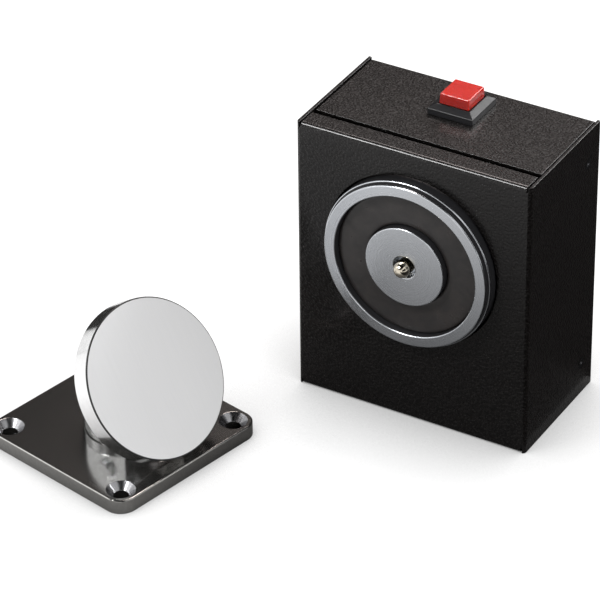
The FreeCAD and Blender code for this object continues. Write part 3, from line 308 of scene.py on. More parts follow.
HIDDEN_NODES: dict[str, Finish] = {
    "coil_bobbin": COIL_PLASTIC,
    "coil_winding": COPPER,
    "ejector_bush": POLE_STEEL,
    "magnet_stud": ZINC,
    "magnet_spacer": ZINC,
    "lock_washer": SPRING_STEEL,
    "contact_bridge": BRASS,
    "switch_floor": BEZEL_PLASTIC,
    "switch_terminals": BRASS,
    "circuit_board": BOARD_GREEN,
    "board_spacers": BRASS,
    "board_screws": ZINC,
    "terminal_block": BLOCK_GREEN,
    "clamp_screws": ZINC,
    "suppressor_diode": BEZEL_PLASTIC,
    "coil_leads": LEAD_RED,
    "switch_leads": LEAD_BLACK,
    "pivot_screw": ZINC,
    "thrust_washer": ZINC,
    "pivot_clip": SPRING_STEEL,
}


def link(name: str, mesh: bpy.types.Mesh) -> bpy.types.Object:
    """Puts a mesh in the scene as an object at the origin.

    Args:
        name: The piece's name.
        mesh: Its mesh, already in place.

    Returns:
        The new object.
    """
    piece = bpy.data.objects.new(name, mesh)
    bpy.context.scene.collection.objects.link(piece)
    return piece


def smoothed(mesh: bpy.types.Mesh, angle: float = CREASE) -> bpy.types.Mesh:
    """Shades a mesh smooth, apart from its sharper edges.

    Args:
        mesh: The mesh.
        angle: Edges sharper than this many degrees stay crisp.

    Returns:
        The same mesh.
    """
    mesh.polygons.foreach_set("use_smooth", [True] * len(mesh.polygons))
    mesh.set_sharp_from_angle(angle=math.radians(angle))
    return mesh


def applied(rough: bpy.types.Object) -> bpy.types.Mesh:
    """Applies an object's modifiers and removes the object.

    Args:
        rough: The object.

    Returns:
        Its finished mesh.
    """
    depsgraph = bpy.context.evaluated_depsgraph_get()
    made = bpy.data.meshes.new_from_object(rough.evaluated_get(depsgraph))
    bpy.data.objects.remove(rough)
    return made


def merged_body(node: str) -> bmesh.types.BMesh:
    """Copies a CAD node's loose triangles and merges them.

    Args:
        node: The CAD node.

    Returns:
        The closed form, to be freed by the caller.
    """
    body = bmesh.new()
    body.from_mesh(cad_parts[node].data)
    bmesh.ops.remove_doubles(body, verts=body.verts, dist=MERGE_GAP)
    return body


def merged_copy(node: str, name: str) -> bpy.types.Object:
    """A merged copy of a CAD node, with its shape unchanged.

    Args:
        node: The CAD node.
        name: The new piece's name.

    Returns:
        The new piece.
    """
    body = merged_body(node)
    mesh = bpy.data.meshes.new(name)
    body.to_mesh(mesh)
    body.free()
    return link(name, smoothed(mesh))


def rounded_copy(node: str, name: str, width: float, segments: int = 2) -> bpy.types.Object:
    """A merged copy of a CAD node with its edges slightly rounded.

    Args:
        node: The CAD node.
        name: The new piece's name.
        width: The width of the rounding, in millimetres.
        segments: Steps across each rounding.

    Returns:
        The new piece.
    """
    flat_angle = math.radians(0.5)
    spike_share = 0.6
    body = merged_body(node)
    bmesh.ops.dissolve_limit(body, angle_limit=flat_angle, verts=body.verts, edges=body.edges)
    mesh = bpy.data.meshes.new(name)
    body.to_mesh(mesh)
    skin = BVHTree.FromBMesh(body)
    body.free()
    rough = link(name + "_blank", smoothed(mesh))
    bevel = rough.modifiers.new("edges", "BEVEL")
    bevel.width = width * MM
    bevel.segments = segments
    bevel.limit_method = "ANGLE"
    bevel.angle_limit = math.radians(CREASE)
    bevel.use_clamp_overlap = False
    level = rough.modifiers.new("flat_faces", "WEIGHTED_NORMAL")
    level.mode = "FACE_AREA"
    level.weight = 50
    level.keep_sharp = True
    made = applied(rough)
    # Where short edges meet, the bevel throws a corner off: it goes back on the surface.
    for vertex in made.vertices:
        spot, _, _, gap = skin.find_nearest(vertex.co)
        if gap > spike_share * width * MM:
            vertex.co = spot
    made.name = name
    made.materials.clear()
    return link(name, made)


def lathe(name: str, outline: Outline, place: Matrix, steps: int, sharp: float) -> bpy.types.Object:
    """A piece turned round Z from its closed half section, and then set in its place.

    Args:
        name: The piece's name.
        outline: Corners (radius, height) in millimetres, in order round the section.
        place: Where the form's own Z axis and origin go, in metres.
        steps: Sides of the turned form.
        sharp: Edges sharper than this many degrees stay crisp.

    Returns:
        The new piece.
    """
    body = bmesh.new()
    turns = [2 * math.pi * step / steps for step in range(steps)]
    rings = []
    for radius, height in outline:
        r, z = radius * MM, height * MM
        if radius < 1e-6:
            rings.append([body.verts.new((0, 0, z))])
        else:
            rings.append([body.verts.new((r * math.cos(a), r * math.sin(a), z)) for a in turns])
    for low, high in zip(rings, rings[1:] + rings[:1]):
        for step in range(steps):
            ahead = (step + 1) % steps
            corners = [low[step % len(low)], low[ahead % len(low)]]
            corners += [high[ahead % len(high)], high[step % len(high)]]
            corners = list(dict.fromkeys(corners))
            if len(corners) > 2:
                body.faces.new(corners)
    bmesh.ops.recalc_face_normals(body, faces=body.faces)
    bmesh.ops.transform(body, matrix=place, verts=body.verts)
    mesh = bpy.data.meshes.new(name)
    body.to_mesh(mesh)
    body.free()
    return link(name, smoothed(mesh, sharp))


def dress(piece: bpy.types.Object, body: str, slot: str, *finishes: Finish) -> None:
    """Gives a finished piece its materials and the body it rides on.

    Args:
        piece: The piece.
        body: The CAD body that it moves with.
        slot: The record's material slot; not used.
        finishes: Its finishes, in the order of its material slots.
    """
    for finish in finishes:
        piece.data.materials.append(finish.material())
    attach(piece, body)
    LOG.info("%s: %d faces", piece.name, len(piece.data.polygons))


@dataclass
class ScrewSet:
    """Countersunk cross-recess screws, placed by geometry nodes."""

    head_radius: float
    shank_radius: float
    length: float
    recess_width: float
    recess_length: float
    recess_tip: float = 0.1
    recess_depth: float = 1.2
    recess_sunk: float = 0.9
    spin: tuple[float, float] = (0.3, 1.3)
    seed: int = 7

    def tree(self, finish: Finish) -> Tree:
        """Builds the node tree that makes one screw and sets it on every point.

        Args:
            finish: The screws' finish.

        Returns:
            The tree, with an input for each size.
        """
        tree = bpy.data.node_groups.new("screw_set", "GeometryNodeTree")
        face = tree.interface
        face.new_socket("Geometry", in_out="OUTPUT", socket_type="NodeSocketGeometry")
        face.new_socket("Geometry", in_out="INPUT", socket_type="NodeSocketGeometry")
        for label in ("Head Radius", "Shank Radius", "Length", "Recess Width", "Recess Length"):
            face.new_socket(label, in_out="INPUT", socket_type="NodeSocketFloat")
        face.new_socket("Seed", in_out="INPUT", socket_type="NodeSocketInt")
        new, join = tree.nodes.new, tree.links.new
        given = new("NodeGroupInput").outputs
        sink = maths(tree, "SUBTRACT", given["Head Radius"], given["Shank Radius"])
        both = new("GeometryNodeJoinGeometry")
        join(self.head(tree, given, sink), both.inputs["Geometry"])
        join(self.shank(tree, given, sink), both.inputs["Geometry"])
        spread = new("GeometryNodeInstanceOnPoints")
        join(given["Geometry"], spread.inputs["Points"])
        join(both.outputs["Geometry"], spread.inputs["Instance"])
        join(self.turned(tree, given["Seed"]), spread.inputs["Rotation"])
        real = new("GeometryNodeRealizeInstances")
        join(spread.outputs["Instances"], real.inputs["Geometry"])
        paint = new("GeometryNodeSetMaterial")
        paint.inputs["Material"].default_value = finish.material()
        join(real.outputs["Geometry"], paint.inputs["Geometry"])
        join(paint.outputs["Geometry"], new("NodeGroupOutput").inputs["Geometry"])
        return tree

    def head(self, tree: Tree, given: bpy.types.bpy_prop_collection, sink: Socket) -> Socket:
        """Adds the conical head with its cross recess.

        Args:
            tree: The tree.
            given: The tree's inputs.
            sink: The head's height.

        Returns:
            The head's mesh, with its face at height 0.
        """
        new, join = tree.nodes.new, tree.links.new
        head = new("GeometryNodeMeshCone")
        head.inputs["Vertices"].default_value = 48
        join(given["Shank Radius"], head.inputs["Radius Bottom"])
        join(given["Head Radius"], head.inputs["Radius Top"])
        join(sink, head.inputs["Depth"])
        lowered = maths(tree, "MULTIPLY", sink, -1.0)
        cut = new("GeometryNodeMeshBoolean")
        cut.operation = "DIFFERENCE"
        cut.solver = "EXACT"
        join(self.lifted(tree, head.outputs["Mesh"], lowered), cut.inputs["Mesh 1"])
        for along, across in ("XY", "YX"):
            arm = new("GeometryNodeMeshCone")
            arm.inputs["Vertices"].default_value = 4
            arm.inputs["Radius Bottom"].default_value = self.recess_tip * MM
            join(given["Recess Length"], arm.inputs["Radius Top"])
            join(maths(tree, "MULTIPLY", sink, self.recess_depth), arm.inputs["Depth"])
            size = new("ShaderNodeCombineXYZ")
            size.inputs["Z"].default_value = 1.0
            size.inputs[along].default_value = 0.5
            thin = maths(tree, "DIVIDE", given["Recess Width"], given["Recess Length"])
            join(thin, size.inputs[across])
            sunk = maths(tree, "MULTIPLY", sink, -self.recess_sunk)
            place = self.lifted(tree, arm.outputs["Mesh"], sunk)
            join(size.outputs["Vector"], place.node.inputs["Scale"])
            join(place, cut.inputs["Mesh 2"])
        return cut.outputs["Mesh"]

    def shank(self, tree: Tree, given: bpy.types.bpy_prop_collection, sink: Socket) -> Socket:
        """Adds the plain shank under the head.

        Args:
            tree: The tree.
            given: The tree's inputs.
            sink: The head's height.

        Returns:
            The shank's mesh.
        """
        shank = tree.nodes.new("GeometryNodeMeshCylinder")
        shank.inputs["Vertices"].default_value = 32
        tree.links.new(given["Shank Radius"], shank.inputs["Radius"])
        reach = maths(tree, "SUBTRACT", given["Length"], sink)
        tree.links.new(reach, shank.inputs["Depth"])
        middle = maths(tree, "SUBTRACT", maths(tree, "MULTIPLY", reach, -0.5), sink)
        return self.lifted(tree, shank.outputs["Mesh"], middle)

    def turned(self, tree: Tree, seed: Socket) -> Socket:
        """Turns each screw to face its own way, tightened to a random angle.

        Args:
            tree: The tree.
            seed: The seed of the angles.

        Returns:
            The rotation of each screw.
        """
        new, join = tree.nodes.new, tree.links.new
        facing = new("GeometryNodeInputNamedAttribute")
        facing.data_type = "FLOAT_VECTOR"
        facing.inputs["Name"].default_value = "facing"
        turn = new("FunctionNodeAlignRotationToVector")
        turn.axis = "Z"
        join(facing.outputs["Attribute"], turn.inputs["Vector"])
        spin = new("FunctionNodeRandomValue")
        spin.inputs["Min"].default_value, spin.inputs["Max"].default_value = self.spin
        join(seed, spin.inputs["Seed"])
        spun = new("FunctionNodeAxisAngleToRotation")
        join(spin.outputs["Value"], spun.inputs["Angle"])
        rotated = new("FunctionNodeRotateRotation")
        rotated.rotation_space = "LOCAL"
        join(turn.outputs["Rotation"], rotated.inputs["Rotation"])
        join(spun.outputs["Rotation"], rotated.inputs["Rotate By"])
        return rotated.outputs["Rotation"]

    def lifted(self, tree: Tree, shape: Socket, height: Socket) -> Socket:
        """Moves a shape along Z.

        Args:
            tree: The tree.
            shape: The shape.
            height: How far it goes up.

        Returns:
            The moved shape.
        """
        offset = tree.nodes.new("ShaderNodeCombineXYZ")
        tree.links.new(height, offset.inputs["Z"])
        move = tree.nodes.new("GeometryNodeTransform")
        tree.links.new(shape, move.inputs["Geometry"])
        tree.links.new(offset.outputs["Vector"], move.inputs["Translation"])
        return move.outputs["Geometry"]

    def build(self, name: str, places: list[tuple[Vector, Vector]],
              finish: Finish) -> bpy.types.Object:
        """Makes the screws as one plain mesh.

        Args:
            name: The piece's name.
            places: For each screw, the middle of its head's face, and the way that it faces.
            finish: The screws' finish.

        Returns:
            The new piece.
        """
        points = bpy.data.meshes.new(name + "_points")
        points.from_pydata([tuple(place) for place, _ in places], [], [])
        facing = points.attributes.new("facing", "FLOAT_VECTOR", "POINT")
        for item, (_, way) in zip(facing.data, places):
            item.vector = way
        blank = link(name + "_points", points)
        maker = blank.modifiers.new("screws", "NODES")
        maker.node_group = self.tree(finish)
        values = {
            "Head Radius": self.head_radius * MM,
            "Shank Radius": self.shank_radius * MM,
            "Length": self.length * MM,
            "Recess Width": self.recess_width * MM,
            "Recess Length": self.recess_length * MM,
            "Seed": self.seed,
        }
        for item in maker.node_group.interface.items_tree:
            if item.in_out == "INPUT" and item.name in values:
                maker[item.identifier] = values[item.name]
        return link(name, smoothed(applied(blank)))


@dataclass
class Housing:
    """The folded cover and base, with the cover's screws and the cable grommet."""

    edge: float = 0.24
    grommet_edge: float = 0.25
    screw_head: float = 2.2
    screw_shank: float = 1.25
    screw_length: float = 4.8
    recess_width: float = 0.9
    recess_length: float = 2.9

    def build(self) -> None:
        """Builds the sheets, the screws and the grommet."""
        self.sheet("housing_cover", "cover_sheet")
        self.sheet("housing_base", "base_sheet")
        self.screws()
        grommet = rounded_copy("cable_grommet", "grommet", self.grommet_edge, 3)
        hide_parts("cable_grommet")
        dress(grommet, "holder", "rubber", RUBBER)

    def sheet(self, node: str, name: str) -> None:
        """Dresses one folded sheet, its cut edges slightly rounded by the coating.

        Args:
            node: The sheet's CAD node.
            name: The new piece's name.
        """
        piece = rounded_copy(node, name, self.edge, 3)
        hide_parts(node)
        dress(piece, "holder", "powder_coat", POWDER_COAT)

    def screws(self) -> None:
        """Sets the four countersunk screws in the cover's sides."""
        low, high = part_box("cover_screws")
        cover_low, cover_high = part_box("housing_cover")
        y = (low[1] + high[1]) / 2
        inset = self.screw_head * MM
        places = []
        for x, side in ((cover_low[0], -1.0), (cover_high[0], 1.0)):
            for z in (low[2] + inset, high[2] - inset):
                places.append((Vector((x, y, z)), Vector((side, 0.0, 0.0))))
        maker = ScrewSet(self.screw_head, self.screw_shank, self.screw_length, self.recess_width,
                         self.recess_length)
        piece = maker.build("side_screws", places, BLACK_SCREW)
        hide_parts("cover_screws")
        dress(piece, "holder", "black_screw")


@dataclass(frozen=True)
class EasedEdge:
    """A turned edge between a wall and a flat face, with loops that keep both shaded flat."""

    across: float
    down: float
    belly: tuple[float, float]
    face_loop: float = 0.0
    wall_loop: float = 0.0

    def points(self, radius: float, side: int, level: float = 0.0) -> Outline:
        """Draws the edge from its wall to its face.

        Args:
            radius: The wall's radius.
            side: 1 where the solid lies outside the wall, -1 where it lies inside.
            level: The face's height.

        Returns:
            The edge's points.
        """
        drawn = [(radius, level + self.down), (radius + side * self.belly[0], level + self.belly[1])]
        drawn.append((radius + side * self.across, level))
        if self.wall_loop:
            drawn.insert(0, (radius, level + self.down + self.wall_loop))
        if self.face_loop:
            drawn.append((radius + side * (self.across + self.face_loop), level))
        return drawn


@dataclass
class Magnet:
    """The pot with its two pole faces, the cast resin and the ejector pin."""

    pole_radius: float = 32.0
    ring: float = 4.2
    core_radius: float = 15.4
    step: float = 0.9
    lip: float = 1.9
    depth: float = 30.0
    rear_chamfer: float = 0.5
    coil_depth: float = 22.0
    bore_radius: float = 4.2
    bore_depth: float = 18.0
    stud_radius: float = 4.05
    bore_edge: EasedEdge = EasedEdge(0.42, 0.45, (0.14, 0.14), face_loop=0.08)
    coil_edge: EasedEdge = EasedEdge(0.35, 0.35, (0.1, 0.08), face_loop=0.08, wall_loop=0.1)
    rim_edge: EasedEdge = EasedEdge(0.45, 0.45, (0.12, 0.12), face_loop=0.08, wall_loop=0.08)
    lip_edge: EasedEdge = EasedEdge(0.35, 0.4, (0.08, 0.1), wall_loop=0.1)
    resin_recess: float = 2.6
    resin_depth: float = 2.6
    resin_gap: float = 0.05
    resin_sag: float = 0.06
    resin_margin: float = 1.4
    pin_radius: float = 3.0
    pin_proud: float = 4.4
    collar_radius: float = 3.8
    collar_start: float = 9.1
    collar: float = 1.5
    tail_radius: float = 1.7
    tail: float = 4.0

    def place(self) -> Matrix:
        """The magnet's own frame: Z runs back from the middle of the pole face."""
        turn = Matrix.Rotation(math.radians(-90), 4, "X")
        return Matrix.Translation(Vector(MAGNET_CENTRE) * MM) @ turn

    def build(self) -> None:
        """Builds the pot, the resin and the pin."""
        self.pot()
        self.resin()
        self.pin()

    def pot(self) -> None:
        """The turned pot: ground pole faces on a black body."""
        inner, body = self.pole_radius - self.ring, self.pole_radius + self.step
        floor_loop = 0.1
        outline = self.bore_edge.points(self.bore_radius, 1)
        outline += reversed(self.coil_edge.points(self.core_radius, -1))
        outline += [(self.core_radius, self.coil_depth - floor_loop), (self.core_radius, self.coil_depth)]
        outline.append((inner, self.coil_depth))
        outline += self.coil_edge.points(inner, 1)
        outline += reversed(self.rim_edge.points(self.pole_radius, -1))
        outline.append((self.pole_radius, self.lip))
        outline += reversed(self.lip_edge.points(body, -1, self.lip))
        outline += [(body, self.depth - self.rear_chamfer), (body - self.rear_chamfer, self.depth)]
        outline += [(self.stud_radius, self.depth), (self.stud_radius, self.bore_depth)]
        outline.append((self.bore_radius, self.bore_depth))
        piece = lathe("magnet_body", outline, self.place(), steps=256, sharp=60)
        self.paint_pot(piece)
        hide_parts("magnet_pot")
        dress(piece, "holder", "pole_steel", POLE_STEEL, POT_BLACK)

    def paint_pot(self, piece: bpy.types.Object) -> None:
        """Leaves the pole faces and the lip's edge bright steel, and the other walls black. The black in
        the coil recess stands partly for the black body and partly for painted shade there; the bare band
        on the lip's edge is a painted highlight line.

        Args:
            piece: The pot.
        """
        centre = Vector(MAGNET_CENTRE) * MM
        bright_wall, bore_margin, margin = 0.5, 1.0, 0.01
        # Black walls: the pot's black body outside, painted shade inside the coil recess; the lip's bare
        # steel band is a painted highlight.
        for face in piece.data.polygons:
            from_axis = math.hypot(face.center.x - centre.x, face.center.z - centre.z) / MM
            behind = (face.center.y - centre.y) / MM
            lip_edge = self.lip + margin < behind < self.lip + self.lip_edge.down - margin
            black_or_shaded_wall = behind > bright_wall and from_axis > self.bore_radius + bore_margin
            face.material_index = 1 if black_or_shaded_wall and not lip_edge else 0

    def resin(self) -> None:
        """The cast resin, drawn down a little along both walls as it sets."""
        inner = self.core_radius + self.resin_gap
        outer = self.pole_radius - self.ring - self.resin_gap
        top, floor = self.resin_recess, self.resin_recess + self.resin_depth
        drawn_down = [(0.0, 0.7), (0.12, 0.35), (0.4, 0.1), (0.9, 0.02)]
        outline = [(inner + gap, top + drop) for gap, drop in drawn_down]
        steps = 8
        for step in range(steps + 1):
            share = step / steps
            radius = inner + self.resin_margin + (outer - inner - 2 * self.resin_margin) * share
            outline.append((radius, top + self.resin_sag * (1 - (2 * share - 1) ** 2)))
        outline += [(outer - gap, top + drop) for gap, drop in reversed(drawn_down)]
        outline += [(outer, floor), (inner, floor)]
        piece = lathe("resin_ring", outline, self.place(), steps=192, sharp=50)
        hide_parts("coil_resin")
        dress(piece, "holder", "cast_resin", RESIN)

    def pin(self) -> None:
        """The ejector pin with its domed nose."""
        nose = self.pin_radius
        centre = nose - self.pin_proud
        steps = 14
        outline = []
        for step in range(steps + 1):
            angle = math.pi / 2 * step / steps
            outline.append((nose * math.sin(angle), centre - nose * math.cos(angle)))
        end = self.collar_start + self.collar
        outline += [(nose, self.collar_start), (self.collar_radius, self.collar_start)]
        outline += [(self.collar_radius, end), (self.tail_radius, end)]
        outline += [(self.tail_radius, end + self.tail), (0.0, end + self.tail)]
        piece = lathe("ejector", outline, self.place(), steps=96, sharp=30)
        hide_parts("ejector_pin")
        dress(piece, "ejector", "nickel", PIN_NICKEL)


@dataclass
class PushButton:
    """The square bezel and the red cap."""

    bezel_edge: float = 0.18
    cap_edge: float = 0.12

    def build(self) -> None:
        """Builds the bezel and the cap."""
        bezel = rounded_copy("switch_housing", "button_bezel", self.bezel_edge, 3)
        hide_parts("switch_housing")
        dress(bezel, "holder", "black_plastic", BEZEL_PLASTIC)
        cap = rounded_copy("button_cap", "red_cap", self.cap_edge, 2)
        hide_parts("button_cap")
        dress(cap, "button", "red_plastic", CAP_PLASTIC)


@dataclass
class PressedSpring:
    """A coil spring whose near end a joint moves; the piece keeps the CAD's shape and does not shorten.
    """

    node: str
    name: str
    joint: str
    axis: Point
    travel: float

    def build(self) -> None:
        """Builds the spring, held at its far end."""
        piece = merged_copy(self.node, self.name)
        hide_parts(self.node)
        dress(piece, "holder", "spring_steel", SPRING_STEEL)
        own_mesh(piece)


@dataclass
class Armature:
    """The base plate and the tilting disc on its pivot."""

    disc_radius: float = 28.85
    disc_depth: float = 8.1
    disc_from_pivot: float = 15.0
    chamfer: float = 0.5
    face_loop: float = 2.0
    knuckle_radius: float = 7.05
    knuckle_insert: float = 4.05
    pivot_edge: float = 0.25
    plate_edge: float = 0.12
    sink_radius: float = 5.5
    sink_floor: float = 2.0

    def pivot(self) -> Matrix:
        """The disc's own frame: Z runs from the pivot to the disc's face."""
        turn = Matrix.Rotation(math.radians(FORK_TURN), 4, "Z")
        tilt = Matrix.Rotation(math.radians(DISC_TILT), 4, "X")
        return Matrix.Translation(Vector(PIVOT_CENTRE) * MM) @ turn @ tilt

    def build(self) -> None:
        """Builds the plate, the disc and the pivot's pieces."""
        self.plate()
        self.disc()
        pieces = (("pivot_fork", "fork", "fork"), ("pivot_pin", "hinge_pin", "fork"),
                  ("disc_knuckle", "knuckle", "disc"))
        for node, name, body in pieces:
            piece = rounded_copy(node, name, self.pivot_edge, 3)
            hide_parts(node)
            dress(piece, body, "zinc_steel", ZINC)

    def plate(self) -> None:
        """The square plate, with bright countersinks."""
        piece = rounded_copy("armature_base", "plate", self.plate_edge, 2)
        steep_normal, flat_normal = 0.3, 0.95
        for face in piece.data.polygons:
            sloping = steep_normal < face.normal.z < flat_normal
            above = face.center.z / MM > self.sink_floor
            face.material_index = 1 if sloping and above and self.in_sink(face.center) else 0
        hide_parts("armature_base")
        dress(piece, "holder", "gloss_black", PLATE_BLACK, SINK_STEEL)

    def in_sink(self, point: Vector) -> bool:
        """Tells whether a point lies in one of the plate's four countersinks.

        Args:
            point: The point, in metres.

        Returns:
            True if it does.
        """
        turn = Matrix.Rotation(math.radians(-PLATE_TURN), 3, "Z")
        local = turn @ (point / MM - Vector(PLATE_CENTRE))
        off_hole = math.hypot(abs(local.x) - HOLE_OFFSET, abs(local.y) - HOLE_OFFSET)
        return off_hole < self.sink_radius

    def disc(self) -> None:
        """The nickel-plated disc: satin face and mirror rim, with the face's chamfer near black as
        painted shade, a dark line in place of a shaded reflection.
        """
        r, back, c = self.disc_radius, self.disc_from_pivot, self.chamfer
        face = back + self.disc_depth
        bore, end = self.knuckle_radius, back + self.knuckle_insert
        outline = [(bore, back), (r - c, back), (r - c / 3, back + c / 3), (r, back + c)]
        outline += [(r, face - c), (r - c / 3, face - c / 3), (r - c, face)]
        outline += [(r - self.face_loop, face), (r / 2, face), (0.0, face), (0.0, end), (bore, end)]
        place = self.pivot()
        piece = lathe("disc", outline, place, steps=256, sharp=25)
        inverse = place.inverted()
        axis = place.to_3x3() @ Vector((0.0, 0.0, 1.0))
        flat_normal, face_margin = 0.9, 0.05
        for polygon in piece.data.polygons:
            height = (inverse @ polygon.center / MM).z
            # The face's chamfer gets the near-black finish: painted shade for its dark reflection.
            edge = abs(polygon.normal @ axis) < flat_normal and height > face - c
            polygon.material_index = 2 if edge else 0 if height > face - face_margin else 1
        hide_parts("armature_disc")
        dress(piece, "disc", "disc_nickel", DISC_FACE, DISC_RIM, DISC_SHADED_CHAMFER)


@dataclass(frozen=True)
class Softbox:
    """A rectangular lamp that faces the object, placed in millimetres and sized in metres."""

    name: str
    place: Point
    size: tuple[float, float]
    glow: float
    mirrored: bool = True
    colour: Colour = (1.0, 1.0, 1.0)

    def hang(self, aim: Point) -> None:
        """Hangs the lamp.

        Args:
            aim: Where it points, in millimetres.
        """
        data = bpy.data.lights.new(self.name, "AREA")
        data.shape = "RECTANGLE"
        data.size, data.size_y = self.size
        data.energy = 4 * self.size[0] * self.size[1] * self.glow
        data.color = self.colour
        lamp = bpy.data.objects.new(self.name, data)
        lamp.visible_glossy = self.mirrored
        way = (Vector(aim) - Vector(self.place)).normalized()
        turn = way.to_track_quat("-Z", "Y").to_matrix().to_4x4()
        lamp.matrix_world = Matrix.Translation(Vector(self.place) * MM) @ turn
        bpy.context.scene.collection.objects.link(lamp)


SOFTBOXES = (
    Softbox("front_left_key", (-427, -583, 900), (0.30, 0.30), 31.0),
    Softbox("left_softbox", (-885, -558, 725), (0.5, 0.5), 1.2),
    Softbox("rear_strip", (320, 680, 490), (0.9, 0.24), 10.0),
    Softbox("overhead_softbox", (-200, 700, 1000), (0.6, 0.6), 11.0, colour=(1.0, 0.9, 0.87)),
    Softbox("right_softbox", (800, -250, 500), (0.5, 0.5), 8.0, mirrored=False),
)


@dataclass
class DarkCards:
    """Black cards round the set, in metres, and black spots of painted shade under the plate's holes."""

    side: float = 1.6
    wall: float = 0.78
    back: float = 0.078
    right: float = 0.088
    far: float = 0.72
    front: float = -2.5
    tall: float = 1.25
    low: float = 0.0005
    sill: float = 0.3
    near: float = -0.1
    spot_radius: float = 0.0035
    spot_lift: float = 0.0001

    def build(self) -> None:
        """Builds the cards and the spots."""
        self.cards()
        self.spots()

    def cards(self) -> None:
        """Stands the cards behind, above and to the right, where only reflections see them."""
        side, wall, far, front = self.side, self.wall, self.far, self.front
        back, right, near, middle = self.back, self.right, self.near, self.front / 2
        tall, low, sill = self.tall, self.low, self.sill
        floor_behind = [(-side, back, low), (side, back, low), (side, far, low), (-side, far, low)]
        wall_behind = [(-side, far, low), (wall, far, low), (wall, far, tall), (-side, far, tall)]
        above = [(-side, far, tall), (wall, far, tall), (wall, front, tall), (-side, front, tall)]
        floor_right = [(right, middle, low), (side, middle, low), (side, back, low), (right, back, low)]
        wall_right = [(side, front, sill), (side, near, sill), (side, near, tall), (side, front, tall)]
        corners = floor_behind + wall_behind + above + floor_right + wall_right
        faces = [tuple(range(first, first + 4)) for first in range(0, len(corners), 4)]
        mesh = bpy.data.meshes.new("dark_cards")
        mesh.from_pydata(corners, [], faces)
        mesh.materials.append(self.black())
        card = link("dark_cards", mesh)
        card.visible_camera = False
        card.visible_diffuse = False
        card.visible_shadow = False

    def spots(self) -> None:
        """Lays a black spot on the floor under each hole of the plate: painted shade for the holes' dark
        bottoms.
        """
        body = bmesh.new()
        turn = Matrix.Rotation(math.radians(PLATE_TURN), 4, "Z")
        centre = Matrix.Translation(Vector(PLATE_CENTRE) * MM) @ turn
        offset = HOLE_OFFSET * MM
        # Each spot is painted shade: a black disc where the floor seen through a hole would lie in shade.
        for x, y in ((-1, -1), (1, -1), (1, 1), (-1, 1)):
            place = centre @ Matrix.Translation((x * offset, y * offset, self.spot_lift))
            bmesh.ops.create_circle(body, cap_ends=True, segments=32, radius=self.spot_radius,
                                    matrix=place)
        mesh = bpy.data.meshes.new("hole_shades")
        body.to_mesh(mesh)
        body.free()
        mesh.materials.append(self.black())
        link("hole_shades", mesh)

    def black(self) -> bpy.types.Material:
        """Makes the cards' dull black, or gives the one made before.

        Returns:
            The material.
        """
        made = bpy.data.materials.get("card_black")
        if not made:
            made = bpy.data.materials.new("card_black")
            made.use_nodes = True
            shader = made.node_tree.nodes["Principled BSDF"].inputs
            shader["Base Color"].default_value = (0.004, 0.004, 0.004, 1.0)
            shader["Roughness"].default_value = 0.9
            shader["Specular IOR Level"].default_value = 0.1
        return made


